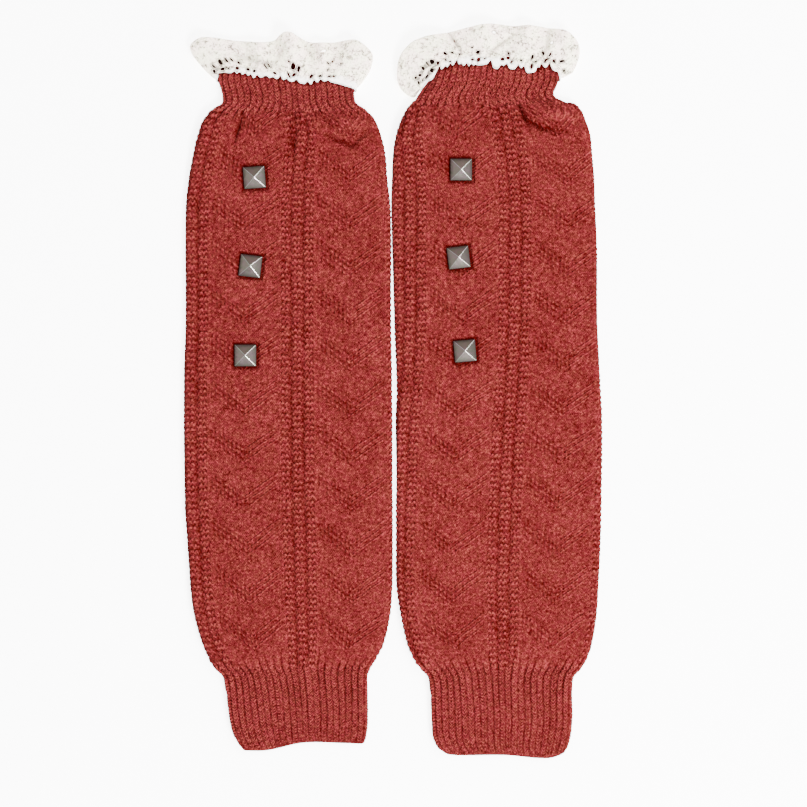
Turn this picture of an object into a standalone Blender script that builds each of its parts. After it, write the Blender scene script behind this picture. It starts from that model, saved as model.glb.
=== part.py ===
"""A pair of knitted leg warmers laid flat side by side.

Each leg is a knitted tube with garter bands and V welts, a ribbed ankle, a ribbed knee opening, a
gathered lace ruffle round that opening and three square pyramid studs down its front.
X runs across the legs, Y from ankle to knee and Z up from the surface that they lie on.
"""

import math
from collections import namedtuple

import bmesh
import bpy

MM = 0.001

# Cloth, in mm
KNIT_WALL = 2.2
LACE_WALL = 1.0
SEAM_GAP = 0.3
LACE_GAP = 0.7

# Knit layout, counted in wales: one wale is one column of stitches
WALES_AROUND = 104
BAND_SPACING = 26
BAND_REACH = 4.3
BAND_RIB = 3.0
BAND_GROOVE = 1.5
GROOVE_HALF = 0.5
PANEL_MIDDLE = 13.0
ARM_REACH = 7.5
ARM_COLUMNS = (-1.0, -0.5, 0.0, 0.5, 1.0)
BACK_WALES_LEFT = (-44.0, -38.0, -34.0, -32.0)
BACK_WALES_RIGHT = (32.0, 36.0, 44.0, 52.0)

# Relief of the knit, in mm. It fades out as the wall turns under at the folds.
BAND_RELIEF = 0.5
GROOVE_RELIEF = 0.15
RELIEF_PAST_FOLD = 0.35

# V welts, in mm: the first one's height up the leg, the spacing, the drop to the point and half its breadth
WELT_FIRST = 131.5
WELT_SPACING = 25.6
WELT_COUNT = 11
WELT_DROP = 14.0
WELT_HALF = 5.0
WELT_RELIEF = 0.7

# Rows of points between the ankle seam and the lowest welt as (height above the seam in mm, drop at a V)
ANKLE_ROWS = ((0.0, 0.0), (4.0, 1.5), (9.0, 5.0), (15.0, 9.0))
# Rows between the highest welt and the knee seam as (part of the way to the seam, drop at a V)
KNEE_ROWS = ((0.3, 9.0), (0.58, 5.0), (0.8, 2.0), (1.0, 0.0))

# The plain inside: places across it from fold to fold, and its rows up a body in mm
INNER_PLACES = (0.0, 0.04, 0.25, 0.5, 0.75, 0.96)
INNER_ROWS = (-83.0, -40.0, 8.0, 60.0, 99.0, 122.0, 134.0, 143.0)
INNER_ABOVE_ANKLE = (0.0, 5.5, 12.5, 28.0)
INNER_BELOW_KNEE = (5.0, 0.0)

# Ribbed ends, in mm. Each row of points lies part of the way up the end and has its own strength of rib.
RIBS_ACROSS = 23
RIB_RELIEF = 0.8
RIB_FRONT_STEPS = 2 * RIBS_ACROSS
RIB_BACK_STEPS = 4
ANKLE_RIB_ROWS = ((0.0, 0.8), (0.25, 1.0), (0.6, 1.0), (0.85, 1.0), (1.0, 0.5))
KNEE_RIB_ROWS = ((0.0, 0.4), (0.22, 1.0), (0.5, 1.0), (0.75, 1.0), (1.0, 0.4))

# Places round a ribbed end or a ruffle: close together at the folds, then even over the rest of the back
FOLD_STEP = 0.035
BACK_START = 1.1
BACK_END = 1.9

# Lace, in mm, then its rows as parts of the way out to the free edge, and the powers that bend that way
LACE_LAP = 4.4
LAP_AT_FOLD = 0.25
LAP_RUN = 0.08
SEAM_LIFT = 1.8
SEAM_LIFT_RUN = 7.0
LACE_FRONT_STEPS = 40
LACE_BACK_STEPS = 10
LACE_SPREAD = (0.0, 0.28, 0.55, 0.8, 1.0)
SPREAD_ACROSS_POWER = 0.8
SPREAD_HEIGHT_POWER = 0.7

# Studs, in mm
STUD_SIDE = 12.0
STUD_EDGE = 0.8
STUD_HEIGHT = 4.6
STUD_PRESS = 12.5
STUD_GAP = 0.5

# Edges sharper than this many degrees are shaded sharp
SHARP_ANGLE = 40.0

Finish = namedtuple("Finish", "colour roughness metallic")
WOOL = Finish((0.34, 0.052, 0.042, 1.0), 0.95, 0.0)
RIBBED_WOOL = Finish((0.30, 0.045, 0.038, 1.0), 0.95, 0.0)
LACE = Finish((0.83, 0.78, 0.73, 1.0), 0.9, 0.0)
PEWTER = Finish((0.30, 0.28, 0.25, 1.0), 0.38, 1.0)

# A section across a leg: its place up the leg, its two folds, the centre band's line and the front's height
Section = namedtuple("Section", "up left right band top")
# A soft trough in the front, or a swelling where depth is below zero: middle, direction in degrees and size
Crease = namedtuple("Crease", "across up turn length width depth")
# The ruffle's free edge: place round the ring (0 to 1 front, 1 to 2 back), position and height
Edge = namedtuple("Edge", "around across up height")
# A place across the ring and how far up the leg a seam or hem lies there
Line = namedtuple("Line", "across up")
Stud = namedtuple("Stud", "across up turn")
Leg = namedtuple("Leg", "name middle body ankle knee hem seam ruffle creases studs")

LEFT_LEG = Leg(
    name="left",
    middle=-57.0,
    body=[
        Section(154.0, -41.7, 41.8, 5.6, 6.0),
        Section(148.5, -47.0, 47.2, 6.1, 7.6),
        Section(140.0, -50.2, 50.6, 7.0, 8.0),
        Section(132.0, -52.3, 52.6, 6.1, 7.2),
        Section(115.0, -55.5, 54.2, 5.0, 6.0),
        Section(99.0, -57.0, 55.8, 4.5, 5.6),
        Section(33.0, -57.1, 56.1, 4.5, 5.5),
        Section(8.0, -58.0, 56.6, 4.5, 5.5),
        Section(-60.0, -57.5, 56.9, 5.0, 5.5),
        Section(-83.0, -56.1, 57.0, 5.8, 5.6),
        Section(-107.0, -54.5, 56.9, 6.4, 6.0),
        Section(-124.0, -52.2, 55.6, 6.9, 6.6),
        Section(-140.0, -47.6, 51.9, 7.2, 6.8),
        Section(-147.0, -44.3, 48.2, 7.2, 6.5),
        Section(-152.5, -40.4, 44.4, 7.2, 6.0),
    ],
    ankle=[
        Section(-152.5, -40.4, 44.4, 7.2, 6.0),
        Section(-157.0, -36.2, 42.8, 7.0, 5.8),
        Section(-165.0, -34.2, 42.8, 7.0, 5.6),
        Section(-181.5, -32.2, 43.2, 7.0, 5.5),
        Section(-190.0, -29.9, 42.2, 7.0, 5.5),
        Section(-197.5, -25.6, 40.8, 7.0, 5.3),
    ],
    knee=[
        Section(154.0, -41.7, 41.8, 5.6, 6.0),
        Section(157.5, -36.6, 36.8, 5.6, 6.2),
        Section(162.0, -36.0, 35.5, 5.6, 6.3),
        Section(166.0, -36.8, 35.5, 5.6, 6.5),
        Section(171.0, -38.4, 35.5, 5.6, 6.9),
        Section(179.0, -37.0, 35.5, 5.6, 7.0),
    ],
    hem=[Line(0.0, -197.6), Line(0.2, -197.4), Line(0.52, -193.3), Line(0.86, -193.6), Line(1.0, -194.0)],
    seam=[
        Line(0.0, 170.0),
        Line(0.13, 173.8),
        Line(0.28, 171.6),
        Line(0.46, 170.5),
        Line(0.66, 168.3),
        Line(0.88, 168.9),
        Line(1.0, 165.2),
    ],
    ruffle=[
        Edge(0.0, -52.2, 183.0, 2.6),
        Edge(0.04, -54.2, 189.0, 5.5),
        Edge(0.10, -46.5, 193.0, 9.5),
        Edge(0.24, -28.5, 191.7, 5.5),
        Edge(0.36, -17.5, 190.3, 9.0),
        Edge(0.46, -8.7, 191.4, 5.5),
        Edge(0.56, 0.1, 196.9, 12.5),
        Edge(0.67, 10.0, 191.4, 5.8),
        Edge(0.75, 18.2, 190.0, 9.0),
        Edge(0.82, 24.8, 190.6, 5.5),
        Edge(0.90, 37.0, 191.0, 11.0),
        Edge(0.96, 45.9, 183.5, 7.5),
        Edge(1.0, 44.2, 175.4, 2.6),
        Edge(1.08, 42.5, 181.0, 0.2),
        Edge(1.18, 30.0, 185.0, 0.0),
        Edge(1.33, 16.0, 186.0, 1.4),
        Edge(1.52, -2.0, 186.5, 0.0),
        Edge(1.72, -22.0, 187.0, 1.4),
        Edge(1.86, -40.0, 188.0, 0.2),
        Edge(1.95, -50.0, 186.5, 0.4),
    ],
    creases=[
        Crease(-28.5, 143.0, 72.0, 16.0, 3.4, 2.4),
        Crease(1.5, 137.5, 90.0, 14.0, 4.0, 1.4),
        Crease(32.5, 138.0, -8.0, 22.0, 3.6, 1.9),
        Crease(34.0, 146.0, 0.0, 22.0, 6.0, -1.0),
    ],
    studs=[Stud(-18.9, 116.9, 4.0), Stud(-21.1, 68.2, -7.0), Stud(-23.9, 19.0, 0.0)],
)

RIGHT_LEG = Leg(
    name="right",
    middle=58.0,
    body=[
        Section(157.5, -46.6, 40.0, -0.5, 6.0),
        Section(155.0, -49.6, 44.8, 2.0, 6.9),
        Section(148.5, -53.2, 48.2, 4.4, 8.0),
        Section(140.0, -56.1, 50.9, 5.5, 8.0),
        Section(132.0, -57.4, 51.8, 7.2, 7.2),
        Section(115.0, -58.4, 53.2, 9.0, 6.0),
        Section(104.5, -58.7, 53.6, 9.4, 5.7),
        Section(74.0, -57.9, 54.7, 9.4, 5.5),
        Section(33.0, -56.7, 55.0, 8.8, 5.5),
        Section(0.0, -55.6, 56.6, 7.2, 5.5),
        Section(-16.5, -56.2, 57.3, 6.1, 5.5),
        Section(-49.5, -55.9, 57.2, 4.4, 5.5),
        Section(-82.5, -55.9, 56.7, 3.1, 5.6),
        Section(-107.0, -55.8, 55.6, 2.5, 6.0),
        Section(-124.0, -53.3, 54.4, 2.5, 6.6),
        Section(-140.0, -49.8, 51.8, 2.8, 6.8),
        Section(-147.0, -46.6, 49.4, 2.8, 6.5),
        Section(-152.5, -42.4, 45.8, 2.8, 6.0),
    ],
    ankle=[
        Section(-152.5, -42.4, 45.8, 2.8, 6.0),
        Section(-157.0, -38.3, 41.8, 2.5, 5.8),
        Section(-165.0, -36.6, 40.4, 2.5, 5.6),
        Section(-181.5, -35.9, 40.8, 2.5, 5.5),
        Section(-190.0, -35.3, 39.8, 2.5, 5.5),
        Section(-195.5, -33.4, 38.4, 2.5, 5.4),
        Section(-200.0, -29.0, 36.5, 2.5, 5.3),
    ],
    knee=[
        Section(157.5, -46.6, 37.5, -0.5, 6.0),
        Section(160.6, -44.2, 31.5, -2.0, 6.2),
        Section(164.0, -41.8, 30.3, -2.0, 6.4),
        Section(167.0, -39.6, 31.7, -2.0, 6.6),
        Section(171.0, -37.9, 32.8, -2.0, 6.9),
        Section(186.0, -34.0, 32.5, -2.0, 7.0),
    ],
    hem=[Line(0.0, -199.4), Line(0.1, -200.1), Line(0.5, -200.0), Line(0.86, -201.7), Line(1.0, -199.0)],
    seam=[
        Line(0.0, 165.0),
        Line(0.09, 177.0),
        Line(0.2, 179.6),
        Line(0.49, 180.0),
        Line(0.68, 176.6),
        Line(0.8, 175.0),
        Line(0.88, 177.5),
        Line(1.0, 170.5),
    ],
    ruffle=[
        Edge(0.0, -50.0, 162.8, 2.0),
        Edge(0.035, -54.6, 170.0, 4.0),
        Edge(0.08, -53.8, 181.5, 7.0),
        Edge(0.13, -48.0, 190.6, 9.5),
        Edge(0.20, -38.0, 195.0, 11.5),
        Edge(0.30, -25.3, 196.8, 6.0),
        Edge(0.44, -9.2, 200.9, 11.5),
        Edge(0.58, 7.7, 199.1, 6.0),
        Edge(0.67, 16.5, 200.8, 10.5),
        Edge(0.77, 26.4, 199.2, 6.0),
        Edge(0.87, 37.0, 196.2, 11.0),
        Edge(0.92, 43.2, 190.5, 9.0),
        Edge(0.965, 44.4, 183.0, 6.0),
        Edge(1.0, 41.0, 174.8, 2.6),
        Edge(1.07, 40.0, 184.0, 0.2),
        Edge(1.17, 30.0, 190.0, 0.0),
        Edge(1.33, 16.0, 194.0, 1.4),
        Edge(1.52, -4.0, 195.5, 0.0),
        Edge(1.72, -26.0, 191.0, 1.2),
        Edge(1.84, -42.0, 187.0, 0.2),
        Edge(1.93, -51.0, 175.0, 0.2),
    ],
    creases=[
        Crease(14.5, 150.0, 118.0, 16.0, 3.4, 2.4),
        Crease(25.0, 144.0, -12.0, 18.0, 3.4, 1.8),
        Crease(33.0, 151.0, 0.0, 22.0, 6.0, -1.2),
    ],
    studs=[Stud(-20.2, 121.2, 0.0), Stud(-21.6, 72.9, 7.0), Stud(-18.1, 21.5, 5.0)],
)


def smooth(rows, key, value, at):
    """The table's value at a place, along a smooth curve through its rows."""
    rows = sorted(rows, key=lambda row: getattr(row, key))
    places = [getattr(row, key) for row in rows]
    values = [getattr(row, value) for row in rows]
    at = min(max(at, places[0]), places[-1])
    last = len(rows) - 1
    i = max(n for n in range(last) if places[n] <= at or n == 0)

    def slope(n):
        before = max(n - 1, 0)
        after = min(n + 1, last)
        return (values[after] - values[before]) / (places[after] - places[before])

    span = places[i + 1] - places[i]
    t = (at - places[i]) / span
    return (
        (2 * t**3 - 3 * t**2 + 1) * values[i]
        + (t**3 - 2 * t**2 + t) * span * slope(i)
        + (3 * t**2 - 2 * t**3) * values[i + 1]
        + (t**3 - t**2) * span * slope(i + 1)
    )


def ease(t):
    """0 to 1 with level ends."""
    t = min(max(t, 0.0), 1.0)
    return t * t * (3 - 2 * t)


def half_girth(left, right, low, high):
    """Length over the front of a flat-lying tube, from fold to fold."""
    return (right - left - (high - low)) + math.pi * (high - low) / 2


def flat_tube(left, right, low, high, along):
    """A point of a flat-lying tube's section and its outward direction, at a length from the left fold.

    The section has a flat front at high, a flat underside at low and round folds; along runs over the
    front first.
    """
    radius = (high - low) / 2
    middle = (high + low) / 2
    quarter = math.pi * radius / 2
    flat = right - left - 2 * radius
    along %= 2 * (flat + 2 * quarter)
    if along < quarter:
        angle = math.pi - along / radius
        centre = left + radius
    elif along < quarter + flat:
        return left + radius + along - quarter, high, 0.0, 1.0
    elif along < 3 * quarter + flat:
        angle = math.pi / 2 - (along - quarter - flat) / radius
        centre = right - radius
    elif along < 3 * quarter + 2 * flat:
        return right - radius - (along - 3 * quarter - flat), low, 0.0, -1.0
    else:
        angle = -math.pi / 2 - (along - 3 * quarter - 2 * flat) / radius
        centre = left + radius
    return (
        centre + radius * math.cos(angle),
        middle + radius * math.sin(angle),
        math.cos(angle),
        math.sin(angle),
    )


def sizes_at(sections, up):
    """Left fold, right fold, centre band line and front height at a place up the leg."""
    return [smooth(sections, "up", value, up) for value in ("left", "right", "band", "top")]


def crease_depth(leg, across, up):
    """How far the creases lower the front at a point of the leg."""
    total = 0.0
    for crease in leg.creases:
        turn = math.radians(crease.turn)
        dx = across - crease.across
        dy = up - crease.up
        lengthwise = (dx * math.cos(turn) + dy * math.sin(turn)) / (crease.length / 2)
        sideways = (dy * math.cos(turn) - dx * math.sin(turn)) / (crease.width / 2)
        total += crease.depth * math.exp(-(lengthwise**2) - sideways**2)
    return total


def band_relief(wale):
    """How far a garter band's three ribs stand out at a wale."""
    from_band = abs((wale + BAND_SPACING / 2) % BAND_SPACING - BAND_SPACING / 2)
    if from_band >= BAND_REACH:
        return 0.0
    return GROOVE_RELIEF if abs(from_band - BAND_GROOVE) < GROOVE_HALF else BAND_RELIEF


def arm(wale):
    """1 at a V's point in the middle of a front panel, 0 at the ends of its arms and elsewhere."""
    return max(0.0, 1.0 - abs(abs(wale) - PANEL_MIDDLE) / ARM_REACH)


def body_columns():
    """Wales that carry a column of points, from the middle of the back round the front and back again."""
    band = [-BAND_REACH, -BAND_RIB, -BAND_GROOVE, 0.0, BAND_GROOVE, BAND_RIB, BAND_REACH]
    panel = [PANEL_MIDDLE + part * ARM_REACH for part in ARM_COLUMNS]
    right = panel + [BAND_SPACING + wale for wale in band]
    left = [-wale for wale in reversed(right)]
    return [*BACK_WALES_LEFT, *left, *band, *right, *BACK_WALES_RIGHT]


def body_rows(leg):
    """Rows of points up a body as (height up the leg, drop at the V points, relief of a V welt)."""
    bottom = leg.body[-1].up
    top = leg.body[0].up
    rows = [(bottom + above, drop, 0.0) for above, drop in ANKLE_ROWS]
    for number in reversed(range(WELT_COUNT)):
        height = WELT_FIRST - number * WELT_SPACING
        rows += [
            (height - WELT_HALF, WELT_DROP, 0.0),
            (height, WELT_DROP, WELT_RELIEF),
            (height + WELT_HALF, WELT_DROP, 0.0),
        ]
    start = rows[-1][0]
    return rows + [(start + (top - start) * part, drop, 0.0) for part, drop in KNEE_ROWS]


def body_front(leg, wale, up):
    """A point of a body's plain outer surface, its outward direction and its length round the section."""
    left, right, band, top = sizes_at(leg.body, up)
    girth = 2 * half_girth(left, right, 0.0, top)
    band_along = band - left - top / 2 + math.pi * top / 4
    along = (band_along + wale * girth / WALES_AROUND) % girth
    return *flat_tube(left, right, 0.0, top, along), along / girth


def body_outer_ring(leg, row):
    """One row of points round a body's outside, as (place round the ring, point)."""
    height, drop, welt = row
    ring = []
    for wale in body_columns():
        up = height - drop * arm(wale)
        across, level, out_across, out_up, place = body_front(leg, wale, up)
        pressed = any(math.hypot(across - s.across, up - s.up) < STUD_PRESS for s in leg.studs)
        relief = band_relief(wale)
        if arm(wale) > 0.0 and not pressed:
            relief += welt
        facing = ease(out_up + RELIEF_PAST_FOLD)
        level -= crease_depth(leg, across, up) * ease(out_up)
        point = (across + out_across * relief * facing, up, level + out_up * relief * facing)
        ring.append((place, point))
    return ring


def inner_ring(leg, sections, up_at, lift_at):
    """One row of points round the plain inside of a knitted tube, as (place round the ring, point)."""
    ring = []
    for front in (True, False):
        for part in INNER_PLACES:
            across_part = part if front else 1.0 - part
            up = up_at(across_part)
            left, right, _, top = sizes_at(sections, up)
            low = lift_at(across_part, up) + KNIT_WALL
            high = top - KNIT_WALL
            left += KNIT_WALL
            right -= KNIT_WALL
            half = half_girth(left, right, low, high)
            along = half * (part if front else 1.0 + part)
            across, level, _, out_up = flat_tube(left, right, low, high, along)
            level -= crease_depth(leg, across, up) * ease(out_up)
            ring.append((along / (2 * half), (across, up, level)))
    return ring


def ring_places(front_steps, back_steps):
    """Places round a ring that carry a column of points: 0 to 1 over the front, 1 to 2 underneath."""
    front = [step / front_steps for step in range(front_steps + 1)]
    back = [BACK_START + (BACK_END - BACK_START) * step / back_steps for step in range(back_steps + 1)]
    right_fold = [1 + FOLD_STEP, 1 + 2 * FOLD_STEP]
    left_fold = [2 - 2 * FOLD_STEP, 2 - FOLD_STEP]
    return front + right_fold + back + left_fold


def rib_relief(place, strength):
    """How far a rib stands out: every second column of the front is a ridge."""
    if place > 1.0:
        return 0.0
    return RIB_RELIEF * strength * (0.5 - 0.5 * math.cos(2 * math.pi * RIBS_ACROSS * place))


def across_of(place):
    """How far across the leg a place round the ring lies, from 0 at the left fold to 1 at the right."""
    return place if place <= 1.0 else 2.0 - place


def rib_outer_ring(sections, up_at, lift_at, strength):
    """One row of points round a ribbed end's outside, as (place round the ring, point)."""
    ring = []
    for place in ring_places(RIB_FRONT_STEPS, RIB_BACK_STEPS):
        up = up_at(across_of(place))
        left, right, _, top = sizes_at(sections, up)
        low = lift_at(across_of(place), up)
        half = half_girth(left, right, low, top)
        across, level, out_across, out_up = flat_tube(left, right, low, top, place * half)
        relief = rib_relief(place, strength)
        ring.append((place / 2, (across + out_across * relief, up, level + out_up * relief)))
    return ring


def no_lift(across, up):
    """The tube lies on the surface."""
    return 0.0


def between(first, second, part):
    """A height function part of the way from one edge line to another."""
    return lambda across: first(across) + (second(across) - first(across)) * part


def link(bm, ring, other):
    """Faces between two rows with the same number of points, looking outwards if other is further up."""
    count = len(ring)
    for i in range(count):
        j = (i + 1) % count
        bm.faces.new((ring[i], ring[j], other[j], other[i]))


def zip_rim(bm, first, second):
    """Triangles between two rows round the same rim with their own numbers of points.

    Each row is a list of (place round the ring, vertex), and the two are walked round together. The
    faces look up the leg where the first row is the outer one, and down it where that is the second.
    """
    first = sorted(first, key=lambda item: item[0])
    second = sorted(second, key=lambda item: item[0])
    first.append((first[0][0] + 1.0, first[0][1]))
    second.append((second[0][0] + 1.0, second[0][1]))
    i = j = 0
    while i < len(first) - 1 or j < len(second) - 1:
        if j == len(second) - 1 or (i < len(first) - 1 and first[i + 1][0] <= second[j + 1][0]):
            bm.faces.new((first[i][1], first[i + 1][1], second[j][1]))
            i += 1
        else:
            bm.faces.new((first[i][1], second[j + 1][1], second[j][1]))
            j += 1


def wall(name, outer_rows, inner_rows, finish):
    """A closed cloth wall between outer rows and plainer inner rows, both listed from ankle to knee."""
    bm = bmesh.new()
    outer = [[(place, bm.verts.new(scaled(point))) for place, point in row] for row in outer_rows]
    inner = [[(place, bm.verts.new(scaled(point))) for place, point in row] for row in inner_rows]
    for rows in (outer, inner[::-1]):
        for row, following in zip(rows, rows[1:]):
            link(bm, [vert for _, vert in row], [vert for _, vert in following])
    zip_rim(bm, inner[0], outer[0])
    zip_rim(bm, outer[-1], inner[-1])
    return finished(name, bm, finish)


def scaled(point):
    """A point in metres from one in mm."""
    return [MM * value for value in point]


def finished(name, bm, finish):
    """An object with its own material from a finished bmesh."""
    mesh = bpy.data.meshes.new(name)
    bm.to_mesh(mesh)
    bm.free()
    mesh.shade_smooth()
    mesh.set_sharp_from_angle(angle=math.radians(SHARP_ANGLE))
    material = bpy.data.materials.new(name)
    material.use_nodes = True
    shader = material.node_tree.nodes["Principled BSDF"]
    shader.inputs["Base Color"].default_value = finish.colour
    shader.inputs["Roughness"].default_value = finish.roughness
    shader.inputs["Metallic"].default_value = finish.metallic
    material.diffuse_color = finish.colour
    mesh.materials.append(material)
    return bpy.data.objects.new(name, mesh)


def make_body(leg):
    """The long knitted tube between the two ribbed ends."""
    top = leg.body[0].up
    bottom = leg.body[-1].up
    inside = [bottom + above for above in INNER_ABOVE_ANKLE]
    inside += [*INNER_ROWS, *(top - below for below in INNER_BELOW_KNEE)]
    outer = [body_outer_ring(leg, row) for row in body_rows(leg)]
    inner = [inner_ring(leg, leg.body, lambda across, up=up: up, no_lift) for up in inside]
    return wall(f"{leg.name}_body", outer, inner, WOOL)


def ribbed_wall(name, leg, sections, lower, upper, lift, rows):
    """A ribbed end between two edge lines. Its inside leaves out the middle row."""
    lines = [(between(lower, upper, part), strength) for part, strength in rows]
    outer = [rib_outer_ring(sections, line, lift, strength) for line, strength in lines]
    del lines[len(lines) // 2]
    inner = [inner_ring(leg, sections, line, lift) for line, _ in lines]
    return wall(name, outer, inner, RIBBED_WOOL)


def make_ankle(leg):
    """The ribbed ankle, from the hem up to the body."""
    top = leg.ankle[0].up - SEAM_GAP

    def hem(across):
        return smooth(leg.hem, "across", "up", across)

    name = f"{leg.name}_ankle_rib"
    return ribbed_wall(name, leg, leg.ankle, hem, lambda across: top, no_lift, ANKLE_RIB_ROWS)


def seam_line(leg):
    """The line of the lace's lower edge round the knee rib."""
    return lambda across: smooth(leg.seam, "across", "up", across)


def seam_lift(leg):
    """How far the knee rib's underside rises to let the lace pass below it."""
    seam = seam_line(leg)
    return lambda across, up: SEAM_LIFT * ease((up - seam(across) + SEAM_LIFT_RUN) / SEAM_LIFT_RUN)


def rib_edge(leg):
    """The line of the knee rib's edge. The lace laps over it, least at the two folds."""
    seam = seam_line(leg)

    def edge(across):
        from_fold = min(across, 1.0 - across)
        return seam(across) + LACE_LAP * (LAP_AT_FOLD + (1.0 - LAP_AT_FOLD) * ease(from_fold / LAP_RUN))

    return edge


def make_knee(leg):
    """The ribbed knee opening, from the body up to its edge under the lace."""
    bottom = leg.knee[0].up + SEAM_GAP
    name = f"{leg.name}_knee_rib"
    return ribbed_wall(
        name, leg, leg.knee, lambda across: bottom, rib_edge(leg), seam_lift(leg), KNEE_RIB_ROWS
    )


def on_rib(leg, place, up):
    """A point of the lace's outside where it lies round the knee rib."""
    left, right, _, top = sizes_at(leg.knee, up)
    low = seam_lift(leg)(across_of(place), up)
    half = half_girth(left, right, low, top)
    across, level, out_across, out_up = flat_tube(left, right, low, top, place * half)
    stand_off = LACE_GAP + LACE_WALL
    if place <= 1.0:
        stand_off += RIB_RELIEF
    return across + out_across * stand_off, up, max(level + out_up * stand_off, 0.0)


def free_edge(leg, place):
    """A point of the ruffle's free edge."""
    rows = leg.ruffle
    closed = [row._replace(around=row.around - 2) for row in rows[-3:]]
    closed += rows + [row._replace(around=row.around + 2) for row in rows[:3]]
    point = [smooth(closed, "around", value, place) for value in ("across", "up", "height")]
    return point[0], point[1], max(point[2], 0.0)


def make_lace(leg):
    """The lace ruffle: a wall gathered round the knee rib that opens into waves at its free edge."""
    seam = seam_line(leg)
    edge_of_rib = rib_edge(leg)
    bm = bmesh.new()
    rows = []
    for line, spread in [(seam, 0.0)] + [(edge_of_rib, spread) for spread in LACE_SPREAD]:
        row = []
        for place in ring_places(LACE_FRONT_STEPS, LACE_BACK_STEPS):
            base = on_rib(leg, place, line(across_of(place)))
            edge = free_edge(leg, place)
            parts = (spread**SPREAD_ACROSS_POWER, spread, spread**SPREAD_HEIGHT_POWER)
            point = [low + (high - low) * part for low, high, part in zip(base, edge, parts)]
            row.append(bm.verts.new(scaled(point)))
        rows.append(row)
    for row, following in zip(rows, rows[1:]):
        link(bm, row, following)
    lace = finished(f"{leg.name}_lace_ruffle", bm, LACE)
    thickness = lace.modifiers.new("cloth", "SOLIDIFY")
    thickness.thickness = LACE_WALL * MM
    thickness.offset = -1.0
    return lace


def make_stud(leg, number):
    """A square pyramid stud on a low edge, seated just above the knit."""
    stud = leg.studs[number]
    bm = bmesh.new()
    bmesh.ops.create_cube(bm, size=1.0)
    bmesh.ops.scale(bm, vec=scaled((STUD_SIDE, STUD_SIDE, STUD_EDGE)), verts=bm.verts)
    bmesh.ops.translate(bm, vec=(0.0, 0.0, STUD_EDGE * MM / 2), verts=bm.verts)
    bm.normal_update()
    top = [face for face in bm.faces if face.normal.z > 0.5]
    bmesh.ops.poke(bm, faces=top, offset=(STUD_HEIGHT - STUD_EDGE) * MM, center_mode="MEAN")
    made = finished(f"{leg.name}_stud_{number + 1}", bm, PEWTER)
    reach = STUD_SIDE / 2
    below, under, above = (smooth(leg.body, "up", "top", stud.up + step) for step in (-reach, 0.0, reach))
    height = max(under, (above + below) / 2) + STUD_GAP
    made.location = scaled((stud.across, stud.up, height))
    made.rotation_mode = "ZYX"
    made.rotation_euler.x = math.atan((above - below) / STUD_SIDE)
    made.rotation_euler.z = math.radians(stud.turn)
    return made


def make_leg(leg, collection):
    """All of one leg warmer, parented to an empty on its own middle line."""
    holder = bpy.data.objects.new(f"{leg.name}_leg", None)
    holder.location.x = leg.middle * MM
    collection.objects.link(holder)
    pieces = [make_body(leg), make_ankle(leg), make_knee(leg), make_lace(leg)]
    pieces += [make_stud(leg, number) for number in range(len(leg.studs))]
    for piece in pieces:
        piece.parent = holder
        collection.objects.link(piece)


def main():
    for obj in list(bpy.data.objects):
        bpy.data.objects.remove(obj)
    collection = bpy.data.collections.new("leg_warmers")
    bpy.context.scene.collection.children.link(collection)
    for leg in (LEFT_LEG, RIGHT_LEG):
        make_leg(leg, collection)


main()
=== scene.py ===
"""Looks of a pair of knitted leg warmers laid flat, built round the fixed frame.

Each leg warmer has a knitted body with garter bands and V welts, a ribbed ankle, a ribbed knee opening,
a gathered lace ruffle and three pyramid studs. Sizes are in millimetres in each leg's own lengthwise
strip, with its middle line at across = 0, and become metres when a mesh is made.
"""

import logging
import math
from collections.abc import Sequence
from dataclasses import dataclass, field, replace
from enum import Enum

import bmesh
import bpy
import numpy as np
from mathutils import Matrix, Vector
from mathutils.geometry import delaunay_2d_cdt


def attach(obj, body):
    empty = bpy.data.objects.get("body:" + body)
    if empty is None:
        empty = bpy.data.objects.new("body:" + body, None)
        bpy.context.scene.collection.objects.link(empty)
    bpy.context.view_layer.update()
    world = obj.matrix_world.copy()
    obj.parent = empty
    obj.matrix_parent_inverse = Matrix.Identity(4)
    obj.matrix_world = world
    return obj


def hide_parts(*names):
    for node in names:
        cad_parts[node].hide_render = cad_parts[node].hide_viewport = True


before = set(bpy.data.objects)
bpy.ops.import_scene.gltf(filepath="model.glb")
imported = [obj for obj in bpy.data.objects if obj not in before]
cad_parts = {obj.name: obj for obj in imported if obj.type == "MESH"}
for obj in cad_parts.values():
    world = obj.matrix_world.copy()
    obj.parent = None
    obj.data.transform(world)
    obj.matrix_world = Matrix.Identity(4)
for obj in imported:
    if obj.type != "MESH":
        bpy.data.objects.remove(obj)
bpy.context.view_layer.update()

Array = np.ndarray
Socket = bpy.types.NodeSocket
Outputs = bpy.types.NodeOutputs
Colour = tuple[float, float, float]
Tint = Colour | Socket
MM = 0.001
LOG = logging.getLogger("leg_warmers")


class Side(Enum):
    """Which leg warmer of the pair, as seen from above with the lace at the top."""

    LEFT = "left"
    RIGHT = "right"


class Finish(Enum):
    """The record's material slots."""

    KNIT = "knit"
    RIB = "rib"
    LACE = "lace"
    STUD = "stud"


# Knit gauge, in mm and wales round the tube
COURSE = 1.6
WALES_AROUND = 104
KNIT_WALL = 2.2
STITCH_DEPTH = 0.75
# The height that no stitch passes
STITCH_TOP = 1.3
# A purl row of the V welts lies here up each leg
COURSE_ORIGIN = -11.0

# The cloth's layout counted in stitches: a repeat round the tube and a repeat up it
REPEAT_WALES = 26
BAND_WALES = 8
ARM_WALES = 8
REPEAT_COURSES = 16
LAST_WELT_BELOW = -143.0

RIBS_ACROSS = 23
RIB_RELIEF = 0.8

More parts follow.
